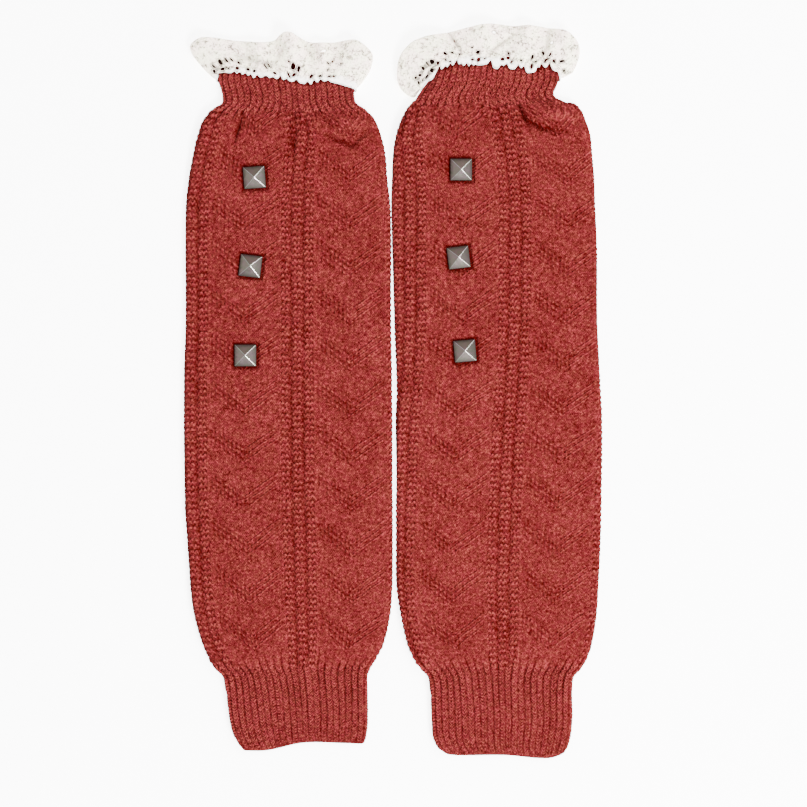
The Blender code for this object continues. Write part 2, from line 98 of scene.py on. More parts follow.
# How far the knee rib runs on under the lace, least at the folds, and how the lace lies on it
LACE_LAP = 4.4
LAP_AT_FOLD = 0.25
LAP_RUN = 0.08
LACE_STAND_OFF = 1.9
SEAM_LIFT = 1.8
SEAM_LIFT_RUN = 7.0
SPREAD_ACROSS_POWER = 0.8
SPREAD_HEIGHT_POWER = 0.7

STUD_SIDE = 12.0
STUD_EDGE = 0.8
STUD_HEIGHT = 4.6
STUD_GAP = 0.5

# Clearance at the seams between knitted pieces, in mm
SEAM_CLEARANCE = 0.02


@dataclass(frozen=True)
class Section:
    """A section across a leg: its place up the leg, its two folds, the centre band's line and its height."""

    up: float
    left: float
    right: float
    band: float
    top: float


@dataclass(frozen=True)
class Crease:
    """A soft trough in the cloth's front, or a swelling where depth is below zero."""

    across: float
    up: float
    turn: float
    length: float
    width: float
    depth: float


@dataclass(frozen=True)
class Edge:
    """A point of the ruffle's free edge: place round the ring (0 to 1 front, 1 to 2 back) and position."""

    around: float
    across: float
    up: float
    height: float


@dataclass(frozen=True)
class Line:
    """A place across the ring, from 0 to 1, and how far up the leg a seam or hem lies there."""

    across: float
    up: float


@dataclass(frozen=True)
class StudPlace:
    """Where a stud sits and how far it is turned, in degrees."""

    across: float
    up: float
    turn: float


@dataclass(frozen=True)
class Eyelet:
    """An eyelet of the lace as it lies: its middle, length, width and turn in degrees."""

    across: float
    up: float
    length: float
    width: float
    turn: float


@dataclass(frozen=True)
class Notch:
    """A gap between two teeth of the lace's lower border: place across, how far up it reaches, half width."""

    across: float
    up: float
    width: float = 1.2


@dataclass(frozen=True)
class LegPlan:
    """All the sizes of one leg warmer, as it lies."""

    side: Side
    middle: float
    body: Sequence[Section]
    ankle: Sequence[Section]
    knee: Sequence[Section]
    hem: Sequence[Line]
    seam: Sequence[Line]
    ruffle: Sequence[Edge]
    creases: Sequence[Crease]
    studs: Sequence[StudPlace]
    eyelets: Sequence[Eyelet]
    lace_folds: Sequence[Crease]
    border: Sequence[Line]
    notches: Sequence[Notch]
    fine_wales: tuple[int, int]


def table(kind: type, *rows: tuple[float, ...]) -> tuple:
    """Rows of one kind, each from its values in the order that the kind names them."""
    return tuple(kind(*map(float, row)) for row in rows)


LEFT_LEG = LegPlan(
    side=Side.LEFT,
    middle=-57.0,
    body=table(
        Section, (154, -41.7, 41.8, 5.6, 6), (148.5, -47, 47.2, 6.1, 7.6), (140, -50.2, 50.6, 7, 8),
        (132, -52.3, 52.6, 6.1, 7.2), (115, -55.5, 54.2, 5, 6), (99, -57, 55.8, 4.5, 5.6),
        (33, -57.1, 56.1, 4.5, 5.5), (8, -58, 56.6, 4.5, 5.5), (-60, -57.5, 56.9, 5, 5.5),
        (-83, -56.1, 57, 5.8, 5.6), (-107, -54.5, 56.9, 6.4, 6), (-124, -52.2, 55.6, 6.9, 6.6),
        (-140, -47.6, 51.9, 7.2, 6.8), (-147, -44.3, 48.2, 7.2, 6.5), (-152.5, -40.4, 44.4, 7.2, 6),
    ),
    ankle=table(
        Section, (-152.5, -40.4, 44.4, 7.2, 6), (-157, -36.2, 42.8, 7, 5.8), (-165, -34.2, 42.8, 7, 5.6),
        (-181.5, -32.2, 43.2, 7, 5.5), (-190, -29.9, 42.2, 7, 5.5), (-197.5, -25.6, 40.8, 7, 5.3),
    ),
    knee=table(
        Section, (154, -41.7, 41.8, 5.6, 6), (157.5, -36.6, 36.8, 5.6, 6.2), (162, -36, 35.5, 5.6, 6.3),
        (166, -36.8, 35.5, 5.6, 6.5), (171, -38.4, 35.5, 5.6, 6.9), (179, -37, 35.5, 5.6, 7),
    ),
    hem=table(Line, (0, -197.6), (0.2, -197.4), (0.52, -193.3), (0.86, -193.6), (1, -194)),
    seam=table(
        Line, (0, 170), (0.13, 173.8), (0.28, 171.6), (0.46, 170.5), (0.66, 168.3), (0.88, 168.9),
        (1, 165.2),
    ),
    ruffle=table(
        Edge, (0, -52.2, 183, 2.6), (0.04, -54.2, 189, 5.5), (0.10, -46.5, 193, 9.5),
        (0.24, -28.5, 191.7, 5.5), (0.36, -17.5, 190.3, 9), (0.46, -8.7, 191.4, 5.5),
        (0.50, -5.6, 193.6, 9), (0.54, -2.6, 195, 12.2), (0.59, 2, 195, 12.2), (0.63, 6.3, 192.9, 9),
        (0.67, 10.8, 190.9, 5.8), (0.75, 18.2, 190, 9), (0.82, 24.8, 190.6, 5.5), (0.90, 37, 191, 11),
        (0.96, 45.9, 183.5, 7.5), (1, 44.2, 175.4, 2.6), (1.08, 42.5, 181, 0.2), (1.18, 30, 185, 0),
        (1.33, 16, 186, 1.4), (1.52, -2, 186.5, 0), (1.72, -22, 187, 1.4), (1.86, -40, 188, 0.2),
        (1.95, -50, 186.5, 0.4),
    ),
    creases=table(
        Crease, (-28, 143, 74, 13, 2.8, 2.1), (1.5, 137.5, 90, 14, 4, 1.4), (29, 136.5, -20, 18, 3, 1.9),
        (38, 137.8, 38, 12, 3, 1.4), (34, 146, 0, 22, 6, -1),
    ),
    studs=table(StudPlace, (-18.9, 116.9, 4), (-21.1, 68.2, -7), (-23.9, 19, 0)),
    eyelets=table(
        Eyelet, (18.8, 185.4, 3.2, 1, 35), (-37.6, 180.1, 2.3, 1.3, -50), (-34.2, 181.1, 2.2, 0.8, -50),
        (-31.3, 181.4, 1.7, 0.7, -48), (-27.6, 179.9, 1.3, 0.9, -50), (-41.4, 177.8, 2.1, 0.7, -40),
        (-36.3, 176.2, 1.4, 1.1, 0), (-33.2, 176.7, 1.7, 0.7, -45), (-28.2, 176.7, 1.3, 1.2, 0),
        (-39.5, 174, 1.7, 1.1, -30), (-22.3, 176, 1.3, 1, -20), (-18.8, 175.2, 1.1, 1.1, 0),
        (-12.7, 177.8, 2.8, 0.6, -52), (-10.8, 178.3, 2, 0.6, -55), (-7.7, 174.1, 1.4, 0.8, -30),
        (0.3, 180, 1.1, 0.6, -40), (2.5, 177.5, 2.8, 1.8, 70), (5.6, 176.3, 2.5, 1, 78),
        (0.1, 172.9, 2.4, 0.8, -65), (2.8, 172.9, 1.7, 1, 40), (12.4, 172.3, 1.8, 1.1, 60),
        (17.3, 172.4, 1.4, 0.8, 0), (22.1, 172.3, 1.1, 0.6, 0), (24.6, 172.4, 1.1, 0.7, -30),
        (29.3, 183.3, 1.1, 0.6, 60), (33.5, 182.3, 1.3, 0.9, 0), (28.7, 179, 0.8, 0.6, 0),
        (21.7, 179.6, 1.1, 0.6, -60), (24, 180.8, 1, 0.6, 60), (21.5, 176, 1.1, 0.6, 50),
    ),
    lace_folds=table(
        Crease, (-19, 181.5, -14, 30, 4, 0.9), (-5, 185, 62, 16, 3, 0.7), (11, 186, -60, 16, 3, 0.7),
    ),
    border=table(
        Line, (-34, 174.2), (-28.2, 173.5), (-22.2, 172.4), (-19.2, 171.1), (-15.9, 171.6), (-7.1, 170.9),
        (1, 169.4), (8.3, 168), (12.2, 167.7), (15.5, 168.8), (19.3, 169.4), (25.7, 168.4), (31.7, 166.7),
        (37, 165.4),
    ),
    notches=table(
        Notch, (-30.1, 174.9), (-27, 174.5), (-23.9, 173.9), (-21, 173.4), (-17.4, 172.9),
        (-12.7, 172.6, 1.5), (-8.8, 171.9), (-4.6, 172.6, 1.1), (-1.2, 170.9), (4.2, 170.3, 1.5),
        (10.4, 169.3), (14.1, 170.1), (17.7, 170.5), (21.5, 170),
    ),
    fine_wales=(-30, 26),
)

RIGHT_LEG = LegPlan(
    side=Side.RIGHT,
    middle=58.0,
    body=table(
        Section, (157.5, -46.6, 40, -0.5, 6), (155, -49.6, 44.8, 2, 6.9), (148.5, -53.2, 48.2, 4.4, 8),
        (140, -56.1, 50.9, 5.5, 8), (132, -57.4, 51.8, 7.2, 7.2), (115, -58.4, 53.2, 9, 6),
        (104.5, -58.7, 53.6, 9.4, 5.7), (74, -57.9, 54.7, 9.4, 5.5), (33, -56.7, 55, 8.8, 5.5),
        (0, -55.6, 56.6, 7.2, 5.5), (-16.5, -56.2, 57.3, 6.1, 5.5), (-49.5, -55.9, 57.2, 4.4, 5.5),
        (-82.5, -55.9, 56.7, 3.1, 5.6), (-107, -55.8, 55.6, 2.5, 6), (-124, -53.3, 54.4, 2.5, 6.6),
        (-140, -49.8, 51.8, 2.8, 6.8), (-147, -46.6, 49.4, 2.8, 6.5), (-152.5, -42.4, 45.8, 2.8, 6),
    ),
    ankle=table(
        Section, (-152.5, -42.4, 45.8, 2.8, 6), (-157, -38.3, 41.8, 2.5, 5.8),
        (-165, -36.6, 40.4, 2.5, 5.6), (-181.5, -35.9, 40.8, 2.5, 5.5), (-190, -35.3, 39.8, 2.5, 5.5),
        (-195.5, -33.4, 38.4, 2.5, 5.4), (-200, -29, 36.5, 2.5, 5.3),
    ),
    knee=table(
        Section, (157.5, -46.6, 37.5, -0.5, 6), (160.6, -44.2, 31.5, -2, 6.2),
        (164, -41.8, 30.3, -2, 6.4), (167, -39.6, 31.7, -2, 6.6), (171, -37.9, 32.8, -2, 6.9),
        (186, -34, 32.5, -2, 7),
    ),
    hem=table(Line, (0, -199.4), (0.1, -200.1), (0.5, -200), (0.86, -201.7), (1, -199)),
    seam=table(
        Line, (0, 165), (0.09, 177), (0.2, 179.6), (0.49, 180), (0.68, 176.6), (0.8, 175), (0.88, 177.5),
        (1, 170.5),
    ),
    ruffle=table(
        Edge, (0, -48, 162.4, 2), (0.02, -52.3, 165.6, 3), (0.045, -54.8, 171.3, 4.3),
        (0.08, -53.8, 181.5, 7), (0.13, -48.4, 189, 9.5), (0.20, -38.2, 193.6, 11.5),
        (0.30, -25.3, 196.6, 6), (0.44, -9.2, 199.6, 11.5), (0.51, -1, 200.4, 8.5), (0.58, 7.7, 199.6, 6),
        (0.67, 16.5, 199.4, 10.5), (0.77, 26.4, 198.7, 6), (0.87, 37, 196.2, 11), (0.92, 43.2, 190.5, 9),
        (0.965, 44.4, 183, 6), (1, 41, 174.8, 2.6), (1.07, 40, 184, 0.2), (1.17, 30, 190, 0),
        (1.33, 16, 194, 1.4), (1.52, -4, 195.5, 0), (1.72, -26, 191, 1.2), (1.84, -42, 187, 0.2),
        (1.93, -50, 173, 0.2), (1.98, -45, 162.6, 0.5),
    ),
    creases=table(
        Crease, (13.2, 152, 115, 14, 2.6, 2.7), (19.5, 146.4, -27, 15, 2.8, 2.2),
        (28, 143.5, -6, 14, 3.2, 1.1), (33, 151, 0, 22, 6, -1.2),
    ),
    studs=table(StudPlace, (-20.2, 121.2, 0), (-21.6, 72.9, 7), (-18.1, 21.5, 5)),
    eyelets=table(
        Eyelet, (-36.3, 180.6, 1.9, 1.5, -40), (-33.1, 179.7, 1.4, 1.1, 0), (-38.8, 179.1, 2.2, 0.8, -50),
        (-29.1, 184.5, 2.4, 1.1, -55), (-25.2, 184.9, 1.8, 1.2, -60), (-41.1, 176.6, 1.5, 0.7, -50),
        (-36.5, 175.6, 1.7, 0.9, -55), (-39.4, 172.3, 2.2, 0.8, 62), (-43, 173, 1.2, 0.9, 0),
        (-43.6, 168.8, 2.1, 0.8, -58), (-41.4, 170.1, 1.3, 0.6, -55), (-45.3, 171.7, 1, 0.8, 0),
        (-11.2, 185.5, 3, 1.2, 42), (-14.1, 181.4, 1.1, 0.9, 0), (-10.9, 181.4, 1.7, 1.2, 60),
        (-14.4, 188.2, 0.9, 0.7, 0), (-7.3, 182.1, 1.1, 0.6, 30), (2.4, 181.7, 1.3, 1.2, 0),
        (5.7, 185, 1.1, 0.8, -30), (5.5, 182.4, 1.4, 1.2, 0), (7.3, 180.1, 1.2, 0.8, 60),
        (12.5, 180.8, 1, 0.8, 0), (18.9, 183, 2, 0.8, 65), (20.9, 180.5, 1, 0.7, 0),
        (18.3, 177.9, 2.2, 0.9, 80), (24.8, 185, 1.7, 0.9, -75), (28.4, 184.2, 1.7, 0.9, 60),
        (26.1, 181.1, 1.9, 0.9, 58), (30.4, 180.5, 1.4, 0.9, -60), (35, 180.6, 1.7, 0.9, 15),
        (36.5, 175.3, 1.2, 0.7, 70), (-53.7, 178.6, 1.4, 0.7, 80), (-21.3, 184.5, 1, 0.7, 0),
        (-26.4, 180.1, 1, 0.6, 0), (-28.7, 181.1, 1.1, 0.6, -50), (-15.4, 198.3, 0.9, 0.7, 0),
        (-8.9, 199.2, 0.9, 0.6, 0), (-13.8, 197.2, 0.7, 0.6, 0), (-2.2, 196.2, 1.1, 0.8, -20),
        (29.3, 190.6, 0.9, 0.6, 40),
    ),
    lace_folds=table(
        Crease, (-23.9, 191.8, -59, 16, 1.9, 1.5), (1.6, 190.2, 37, 22, 1.9, 1.3),
        (27, 192, 80, 20, 2.4, 0.8),
    ),
    border=table(
        Line, (-36.5, 170), (-35.4, 171.6), (-34.3, 174.3), (-30.9, 175.9), (-27.5, 176.5), (-24.5, 178),
        (-21.6, 178.4), (-18.8, 177.9), (-16, 177.4), (-13.3, 177.9), (-7.7, 178.5), (-6, 178.7),
        (-2.7, 176.9), (0, 176.3), (3, 177.6), (6.1, 176.5), (8.3, 176.1), (12.7, 176.5), (15.1, 174.4),
        (19.3, 174.3), (26.1, 177.1), (31.6, 174.9),
    ),
    notches=table(
        Notch, (-32.6, 177.7), (-28.7, 177.9), (-26.2, 179.3), (-22.9, 181), (-20.3, 179.3),
        (-17.1, 179.4, 1.1), (-14.4, 179.1, 1.1), (-12.2, 178.6), (-4.2, 180.9, 1.4), (1.9, 178.5),
        (4.6, 179.2), (10.9, 178.4, 1.1), (14, 177.6), (21.9, 177.4), (23.8, 179.1), (28.2, 179.3),
    ),
    fine_wales=(-32, 25),
)


def ease(value: Array | float) -> Array:
    """0 to 1 with level ends, for any array of values."""
    value = np.clip(value, 0.0, 1.0)
    return value * value * (3 - 2 * value)


def along_table(rows: Sequence[object], key: str, value: str, at: Array) -> Array:
    """Read one column of a table along a smooth curve through its rows.

    Args:
        rows: Table rows with named values.
        key: The value that says where each row is.
        value: The value to read.
        at: Places to read it at.

    Returns:
        The value at each place.
    """
    rows = sorted(rows, key=lambda row: getattr(row, key))
    places, values = (np.array([getattr(row, name) for row in rows]) for name in (key, value))
    last = len(rows) - 1
    before = np.maximum(np.arange(last + 1) - 1, 0)
    after = np.minimum(np.arange(last + 1) + 1, last)
    slopes = (values[after] - values[before]) / (places[after] - places[before])
    at = np.clip(at, places[0], places[-1])
    i = np.clip(np.searchsorted(places, at, side="right") - 1, 0, last - 1)
    span = places[i + 1] - places[i]
    t = (at - places[i]) / span
    return (
        (2 * t**3 - 3 * t**2 + 1) * values[i]
        + (t**3 - 2 * t**2 + t) * span * slopes[i]
        + (3 * t**2 - 2 * t**3) * values[i + 1]
        + (t**3 - t**2) * span * slopes[i + 1]
    )


def half_girth(left: Array, right: Array, low: Array, high: Array) -> Array:
    """Length over the front of a flat-lying tube, from fold to fold."""
    return (right - left - (high - low)) + math.pi * (high - low) / 2


def flat_tube(left: Array, right: Array, low: Array, high: Array, along: Array) -> tuple[Array, ...]:
    """Points of flat-lying tube sections at lengths from the left fold, over the front first.

    Args:
        left: Each section's left fold.
        right: Its right fold.
        low: The height of its underside.
        high: The height of its front.
        along: The length round the section.

    Returns:
        Across, height, and the outward direction's two parts.
    """
    left, right, low, high, along = np.broadcast_arrays(left, right, low, high, along)
    radius = (high - low) / 2
    quarter = math.pi * radius / 2
    flat = right - left - 2 * radius
    along = along % (2 * (flat + 2 * quarter))
    up_left, over, down_right = quarter, quarter + flat, 3 * quarter + flat
    stretches = [along < up_left, along < over, along < down_right, along < down_right + flat]
    up, down = math.pi / 2, -math.pi / 2
    angles = [math.pi - along / radius, up, up - (along - over) / radius, down]
    angle = np.select(stretches, angles, down - (along - down_right - flat) / radius)
    first, last = left + radius, right - radius
    centre = np.select(stretches, [first, first + along - up_left, last, last - along + down_right], first)
    out_across, out_up = np.cos(angle), np.sin(angle)
    return centre + radius * out_across, (high + low) / 2 + radius * out_up, out_across, out_up


def tube_sizes(sections: Sequence[Section], up: Array) -> tuple[Array, ...]:
    """Left fold, right fold, centre band line and front height at places up the leg."""
    return tuple(along_table(sections, "up", name, up) for name in ("left", "right", "band", "top"))


def crease_depth(creases: Sequence[Crease], across: Array, up: Array) -> Array:
    """How far soft creases lower the cloth of the front.

    Args:
        creases: The creases.
        across: Points' places across the leg.
        up: Their places up it.

    Returns:
        The depth at each point.
    """
    total = np.zeros(np.broadcast(across, up).shape)
    for crease in creases:
        local = turned(across - crease.across, up - crease.up, -math.radians(crease.turn))
        lengthwise, sideways = local[..., 0] / (crease.length / 2), local[..., 1] / (crease.width / 2)
        total += crease.depth * np.exp(-(lengthwise**2) - sideways**2)
    return total


def across_of(place: Array) -> Array:
    """How far across the leg a place round its ring lies, from 0 at the left fold to 1 at the right."""
    return np.where(place <= 1.0, place, 2.0 - place)


def seam_up(plan: LegPlan, across: Array) -> Array:
    """How far up the leg the lace's lower edge lies."""
    return along_table(plan.seam, "across", "up", across)


def lap_up(across: Array) -> Array:
    """How far the knee rib runs on under the lace, least at the two folds."""
    from_fold = ease(np.minimum(across, 1.0 - across) / LAP_RUN)
    return LACE_LAP * (LAP_AT_FOLD + (1.0 - LAP_AT_FOLD) * from_fold)


def seam_rise(plan: LegPlan, across: Array, up: Array) -> Array:
    """How far the knee rib's underside rises to let the lace pass below it."""
    return SEAM_LIFT * ease((up - seam_up(plan, across) + SEAM_LIFT_RUN) / SEAM_LIFT_RUN)


def mottle(first: Array, second: Array, seed: int) -> Array:
    """Smooth random values, with one for each whole step of two places.

    Args:
        first: Points' first places.
        second: Their second places.
        seed: The seed of the values.

    Returns:
        A value from -1 to 1 for each point.
    """
    rng = np.random.default_rng(seed)
    column, row = np.floor(first).astype(int), np.floor(second).astype(int)
    column, row = column - column.min(), row - row.min()
    table_of = rng.uniform(-1.0, 1.0, (column.max() + 2, row.max() + 2))
    right, above = ease(first % 1.0), ease(second % 1.0)
    low = table_of[column, row] * (1 - right) + table_of[column + 1, row] * right
    high = table_of[column, row + 1] * (1 - right) + table_of[column + 1, row + 1] * right
    return low * (1 - above) + high * above


def waver(first: Array, second: Array, seed: float) -> Array:
    """A smooth uneven value that varies with two places, for hand-made irregularity.

    Args:
        first: Points' first places.
        second: Their second places.
        seed: Where in its pattern it starts.

    Returns:
        A value from about -1 to 1 for each point.
    """
    return (
        np.sin(first * 1.0 + 2.3 * np.sin(second * 0.7 + seed) + seed)
        + np.sin(first * 0.43 - second * 1.31 + 1.7 * seed)
        + np.sin(first * 1.9 + second * 0.57 + 3.1 * seed)
    ) / 3


def rib_shade(wave: Array) -> Array:
    """How deep in shade a place of the ribs lies, from 0 on a ridge to 1 in a groove."""
    return np.clip(1 - 1.15 * wave / RIB_RELIEF, 0.0, 1.0) ** 1.3


def rib_wave(place: Array, groove: float) -> Array:
    """The ribs' ridges and grooves round a leg, each rib a little uneven.

    Args:
        place: Places round the leg, from 0 to 2.
        groove: How far the grooves lie below the plain surface, in mm.

    Returns:
        The height at each place.
    """
    rib = place * RIBS_ACROSS
    ridge = ease((0.5 - np.abs(rib % 1.0 - 0.5)) / 0.24)
    number, valley = np.floor(rib), np.round(rib)
    uneven = 0.8 + 0.3 * waver(number * 2.3, number * 0.7, 0.9)
    filled = ease(0.1 + 0.9 * waver(valley * 1.9, valley * 0.8, 2.6))
    ridge = ridge + (1 - ridge) * 0.55 * filled
    return (RIB_RELIEF + groove) * ridge * uneven - groove


def turned(x: Array, y: Array, angle: float) -> Array:
    """Points turned about the origin."""
    cos, sin = math.cos(angle), math.sin(angle)
    return np.stack([x * cos - y * sin, x * sin + y * cos], -1)


@dataclass(frozen=True)
class Term:
    """A number that nodes work out, which can stand in a sum as a plain number does."""

    tree: "Tree"
    socket: Socket

    def __add__(self, other: object) -> "Term":
        """The sum of two."""
        return self.tree.math("ADD", self, other)

    def __sub__(self, other: object) -> "Term":
        """The difference of two."""
        return self.tree.math("SUBTRACT", self, other)

    def __rsub__(self, other: float) -> "Term":
        """A plain number less this one."""
        return self.tree.math("SUBTRACT", other, self)

    def __mul__(self, other: object) -> "Term":
        """The product of two."""
        return self.tree.math("MULTIPLY", self, other)

    def __truediv__(self, other: object) -> "Term":
        """The quotient of two."""
        return self.tree.math("DIVIDE", self, other)

    def __abs__(self) -> "Term":
        """Its size without its sign."""
        return self.tree.math("ABSOLUTE", self)

    def __lt__(self, other: object) -> "Term":
        """1 where it is less than the other, or else 0."""
        return self.tree.math("LESS_THAN", self, other)

    def __gt__(self, other: object) -> "Term":
        """1 where it is more than the other, or else 0."""
        return self.tree.math("GREATER_THAN", self, other)

    def at_least(self, other: object) -> "Term":
        """The larger of two."""
        return self.tree.math("MAXIMUM", self, other)

    def fraction(self) -> "Term":
        """Its part past the whole number below it."""
        return self.tree.math("FRACT", self)

    def wave(self) -> "Term":
        """A wave from 0 to 1, with a crest at 0 and at every whole turn."""
        return self.tree.math("COSINE", self) * 0.5 + 0.5


class Tree:
    """A node tree that is written as calls, each of which adds a node."""

    def __init__(self, nodes: bpy.types.NodeTree) -> None:
        """Keep the tree."""
        self.nodes = nodes

    def feed(self, node: bpy.types.Node, feeds: dict[str | int, object]) -> None:
        """Feed a node's inputs.

        Args:
            node: The node.
            feeds: A value, a term or a socket for each named or numbered input.
        """
        for key, value in feeds.items():
            value = value.socket if isinstance(value, Term) else value
            if isinstance(value, Socket):
                self.nodes.links.new(value, node.inputs[key])
            else:
                node.inputs[key].default_value = value

    def add(self, kind: str, feeds: dict[str | int, object] | None = None, **settings: object) -> Outputs:
        """Add a node.

        Args:
            kind: The node's type.
            feeds: What its inputs take.
            **settings: The node's own settings.

        Returns:
            Its outputs.
        """
        node = self.nodes.nodes.new(kind)
        for name, value in settings.items():
            setattr(node, name, value)
        self.feed(node, feeds or {})
        return node.outputs

    def join(self, *parts: Socket) -> Socket:
        """Join several geometries.

        Args:
            *parts: Their sockets.

        Returns:
            The whole's socket.
        """
        node = self.nodes.nodes.new("GeometryNodeJoinGeometry")
        for part in parts:
            self.nodes.links.new(part, node.inputs[0])
        return node.outputs[0]

    def math(self, operation: str, *values: object) -> Term:
        """The result of a Math node on numbers and terms."""
        return Term(self, self.add("ShaderNodeMath", dict(enumerate(values)), operation=operation)[0])

    def blend(self, part: object, first: object, second: object) -> Term:
        """A number that goes from first to second as part goes from 0 to 1."""
        return Term(self, self.add("ShaderNodeMix", {0: part, 2: first, 3: second}, data_type="FLOAT")[0])

    def ramp(self, value: Term, low: float, high: float) -> Term:
        """0 below low, 1 above high, and smooth between."""
        feeds = {"Value": value, "From Min": low, "From Max": high}
        return Term(self, self.add("ShaderNodeMapRange", feeds, interpolation_type="SMOOTHSTEP")[0])

    def noise(self, place: Socket, scale: float, detail: float = 2.0, roughness: float = 0.5) -> Term:
        """The value of a noise texture."""
        feeds = {"Vector": place, "Scale": scale, "Detail": detail, "Roughness": roughness}
        return Term(self, self.add("ShaderNodeTexNoise", feeds)[0])

    def parts(self, vector: Socket) -> tuple[Term, ...]:
        """A vector's three parts."""
        return tuple(Term(self, part) for part in self.add("ShaderNodeSeparateXYZ", {0: vector}))

    def scaled(self, vector: Socket, size: Term) -> Socket:
        """A vector made longer or shorter."""
        return self.add("ShaderNodeVectorMath", {0: vector, "Scale": size}, operation="SCALE")[0]

    def place(self) -> Socket:
        """The point's place in the frame, in metres."""
        return self.add("ShaderNodeTexCoord")["Object"]

    def stitch(self) -> Socket:
        """The piece's own stitch coordinates."""
        return self.add("ShaderNodeUVMap", uv_map="stitch")[0]

    def value(self, name: str) -> Term:
        """A value that a shader reads from the piece's points by its name."""
        return Term(self, self.add("ShaderNodeAttribute", attribute_name=name)["Fac"])

    def tint(self, part: object, first: Tint, second: Tint, blend_type: str = "MIX") -> Socket:
        """Mix two colours.

        Args:
            part: How much of the second one shows, from 0 to 1.
            first: A colour, or its socket.
            second: Another one.
            blend_type: The way to mix them.

        Returns:
            The mixture's socket.
        """
        first, second = ((*tint, 1.0) if isinstance(tint, tuple) else tint for tint in (first, second))
        feeds = {0: part, 6: first, 7: second}
        return self.add("ShaderNodeMix", feeds, data_type="RGBA", blend_type=blend_type)[2]

    def tinged(self, colour: Socket, drift: Term, first: Tint, second: Tint) -> Socket:
        """A colour whose hue drifts between two tinges."""
        return self.tint(1.0, colour, self.tint(drift, first, second), "MULTIPLY")

    def bump(self, height: Term, strength: float, depth: float) -> Socket:
        """A bumped normal, where a height of 1 stands for a depth in mm."""
        feeds = {"Height": height, "Strength": strength, "Distance": depth * MM}
        return self.add("ShaderNodeBump", feeds)[0]


def new_material(name: str) -> tuple[bpy.types.Material, Tree, bpy.types.Node]:
    """Start a material.

    Args:
        name: Its name.

    Returns:
        The material, its tree and its shader.
    """
    material = bpy.data.materials.new(name)
    material.use_nodes = True
    return material, Tree(material.node_tree), material.node_tree.nodes["Principled BSDF"]


@dataclass(frozen=True)
class KnitStitch:
    """The height of plain knit cloth, from 0 to about 1, by the wale and course counted along it."""

    share: float = 1.0
    floor: float = 0.34
    rise: float = 0.56
    leg_floor: float = 0.2
    wale_groove: float = 0.45
    centre_dip: float = 0.25

    def height(self, tree: Tree, wale: Term, course: Term) -> Term:
        """Build the nodes for the cloth's height.

        Args:
            tree: The tree to build them in.
            wale: How many stitches along the round a point is.
            course: How many rows up it is.

        Returns:
            The height.
        """
        side = self.side(wale)
        leg = tree.blend(((course - side) * (2 * math.pi)).wave(), self.leg_floor, 1.0)
        outer = (side * 2.0 - 1.0).at_least(0.0)
        inner = (side * -2.0 + 1.0).at_least(0.0)
        hull = 1.0 - outer * outer * self.wale_groove - inner * inner * self.centre_dip
        return leg * hull * self.rise + self.floor

    def side(self, wale: Term) -> Term:
        """How far a point is from the middle of its wale, from 0 to 1."""
        return wale.tree.math("MINIMUM", abs(wale.fraction() - 0.5) / (self.share / 2), 1.0)


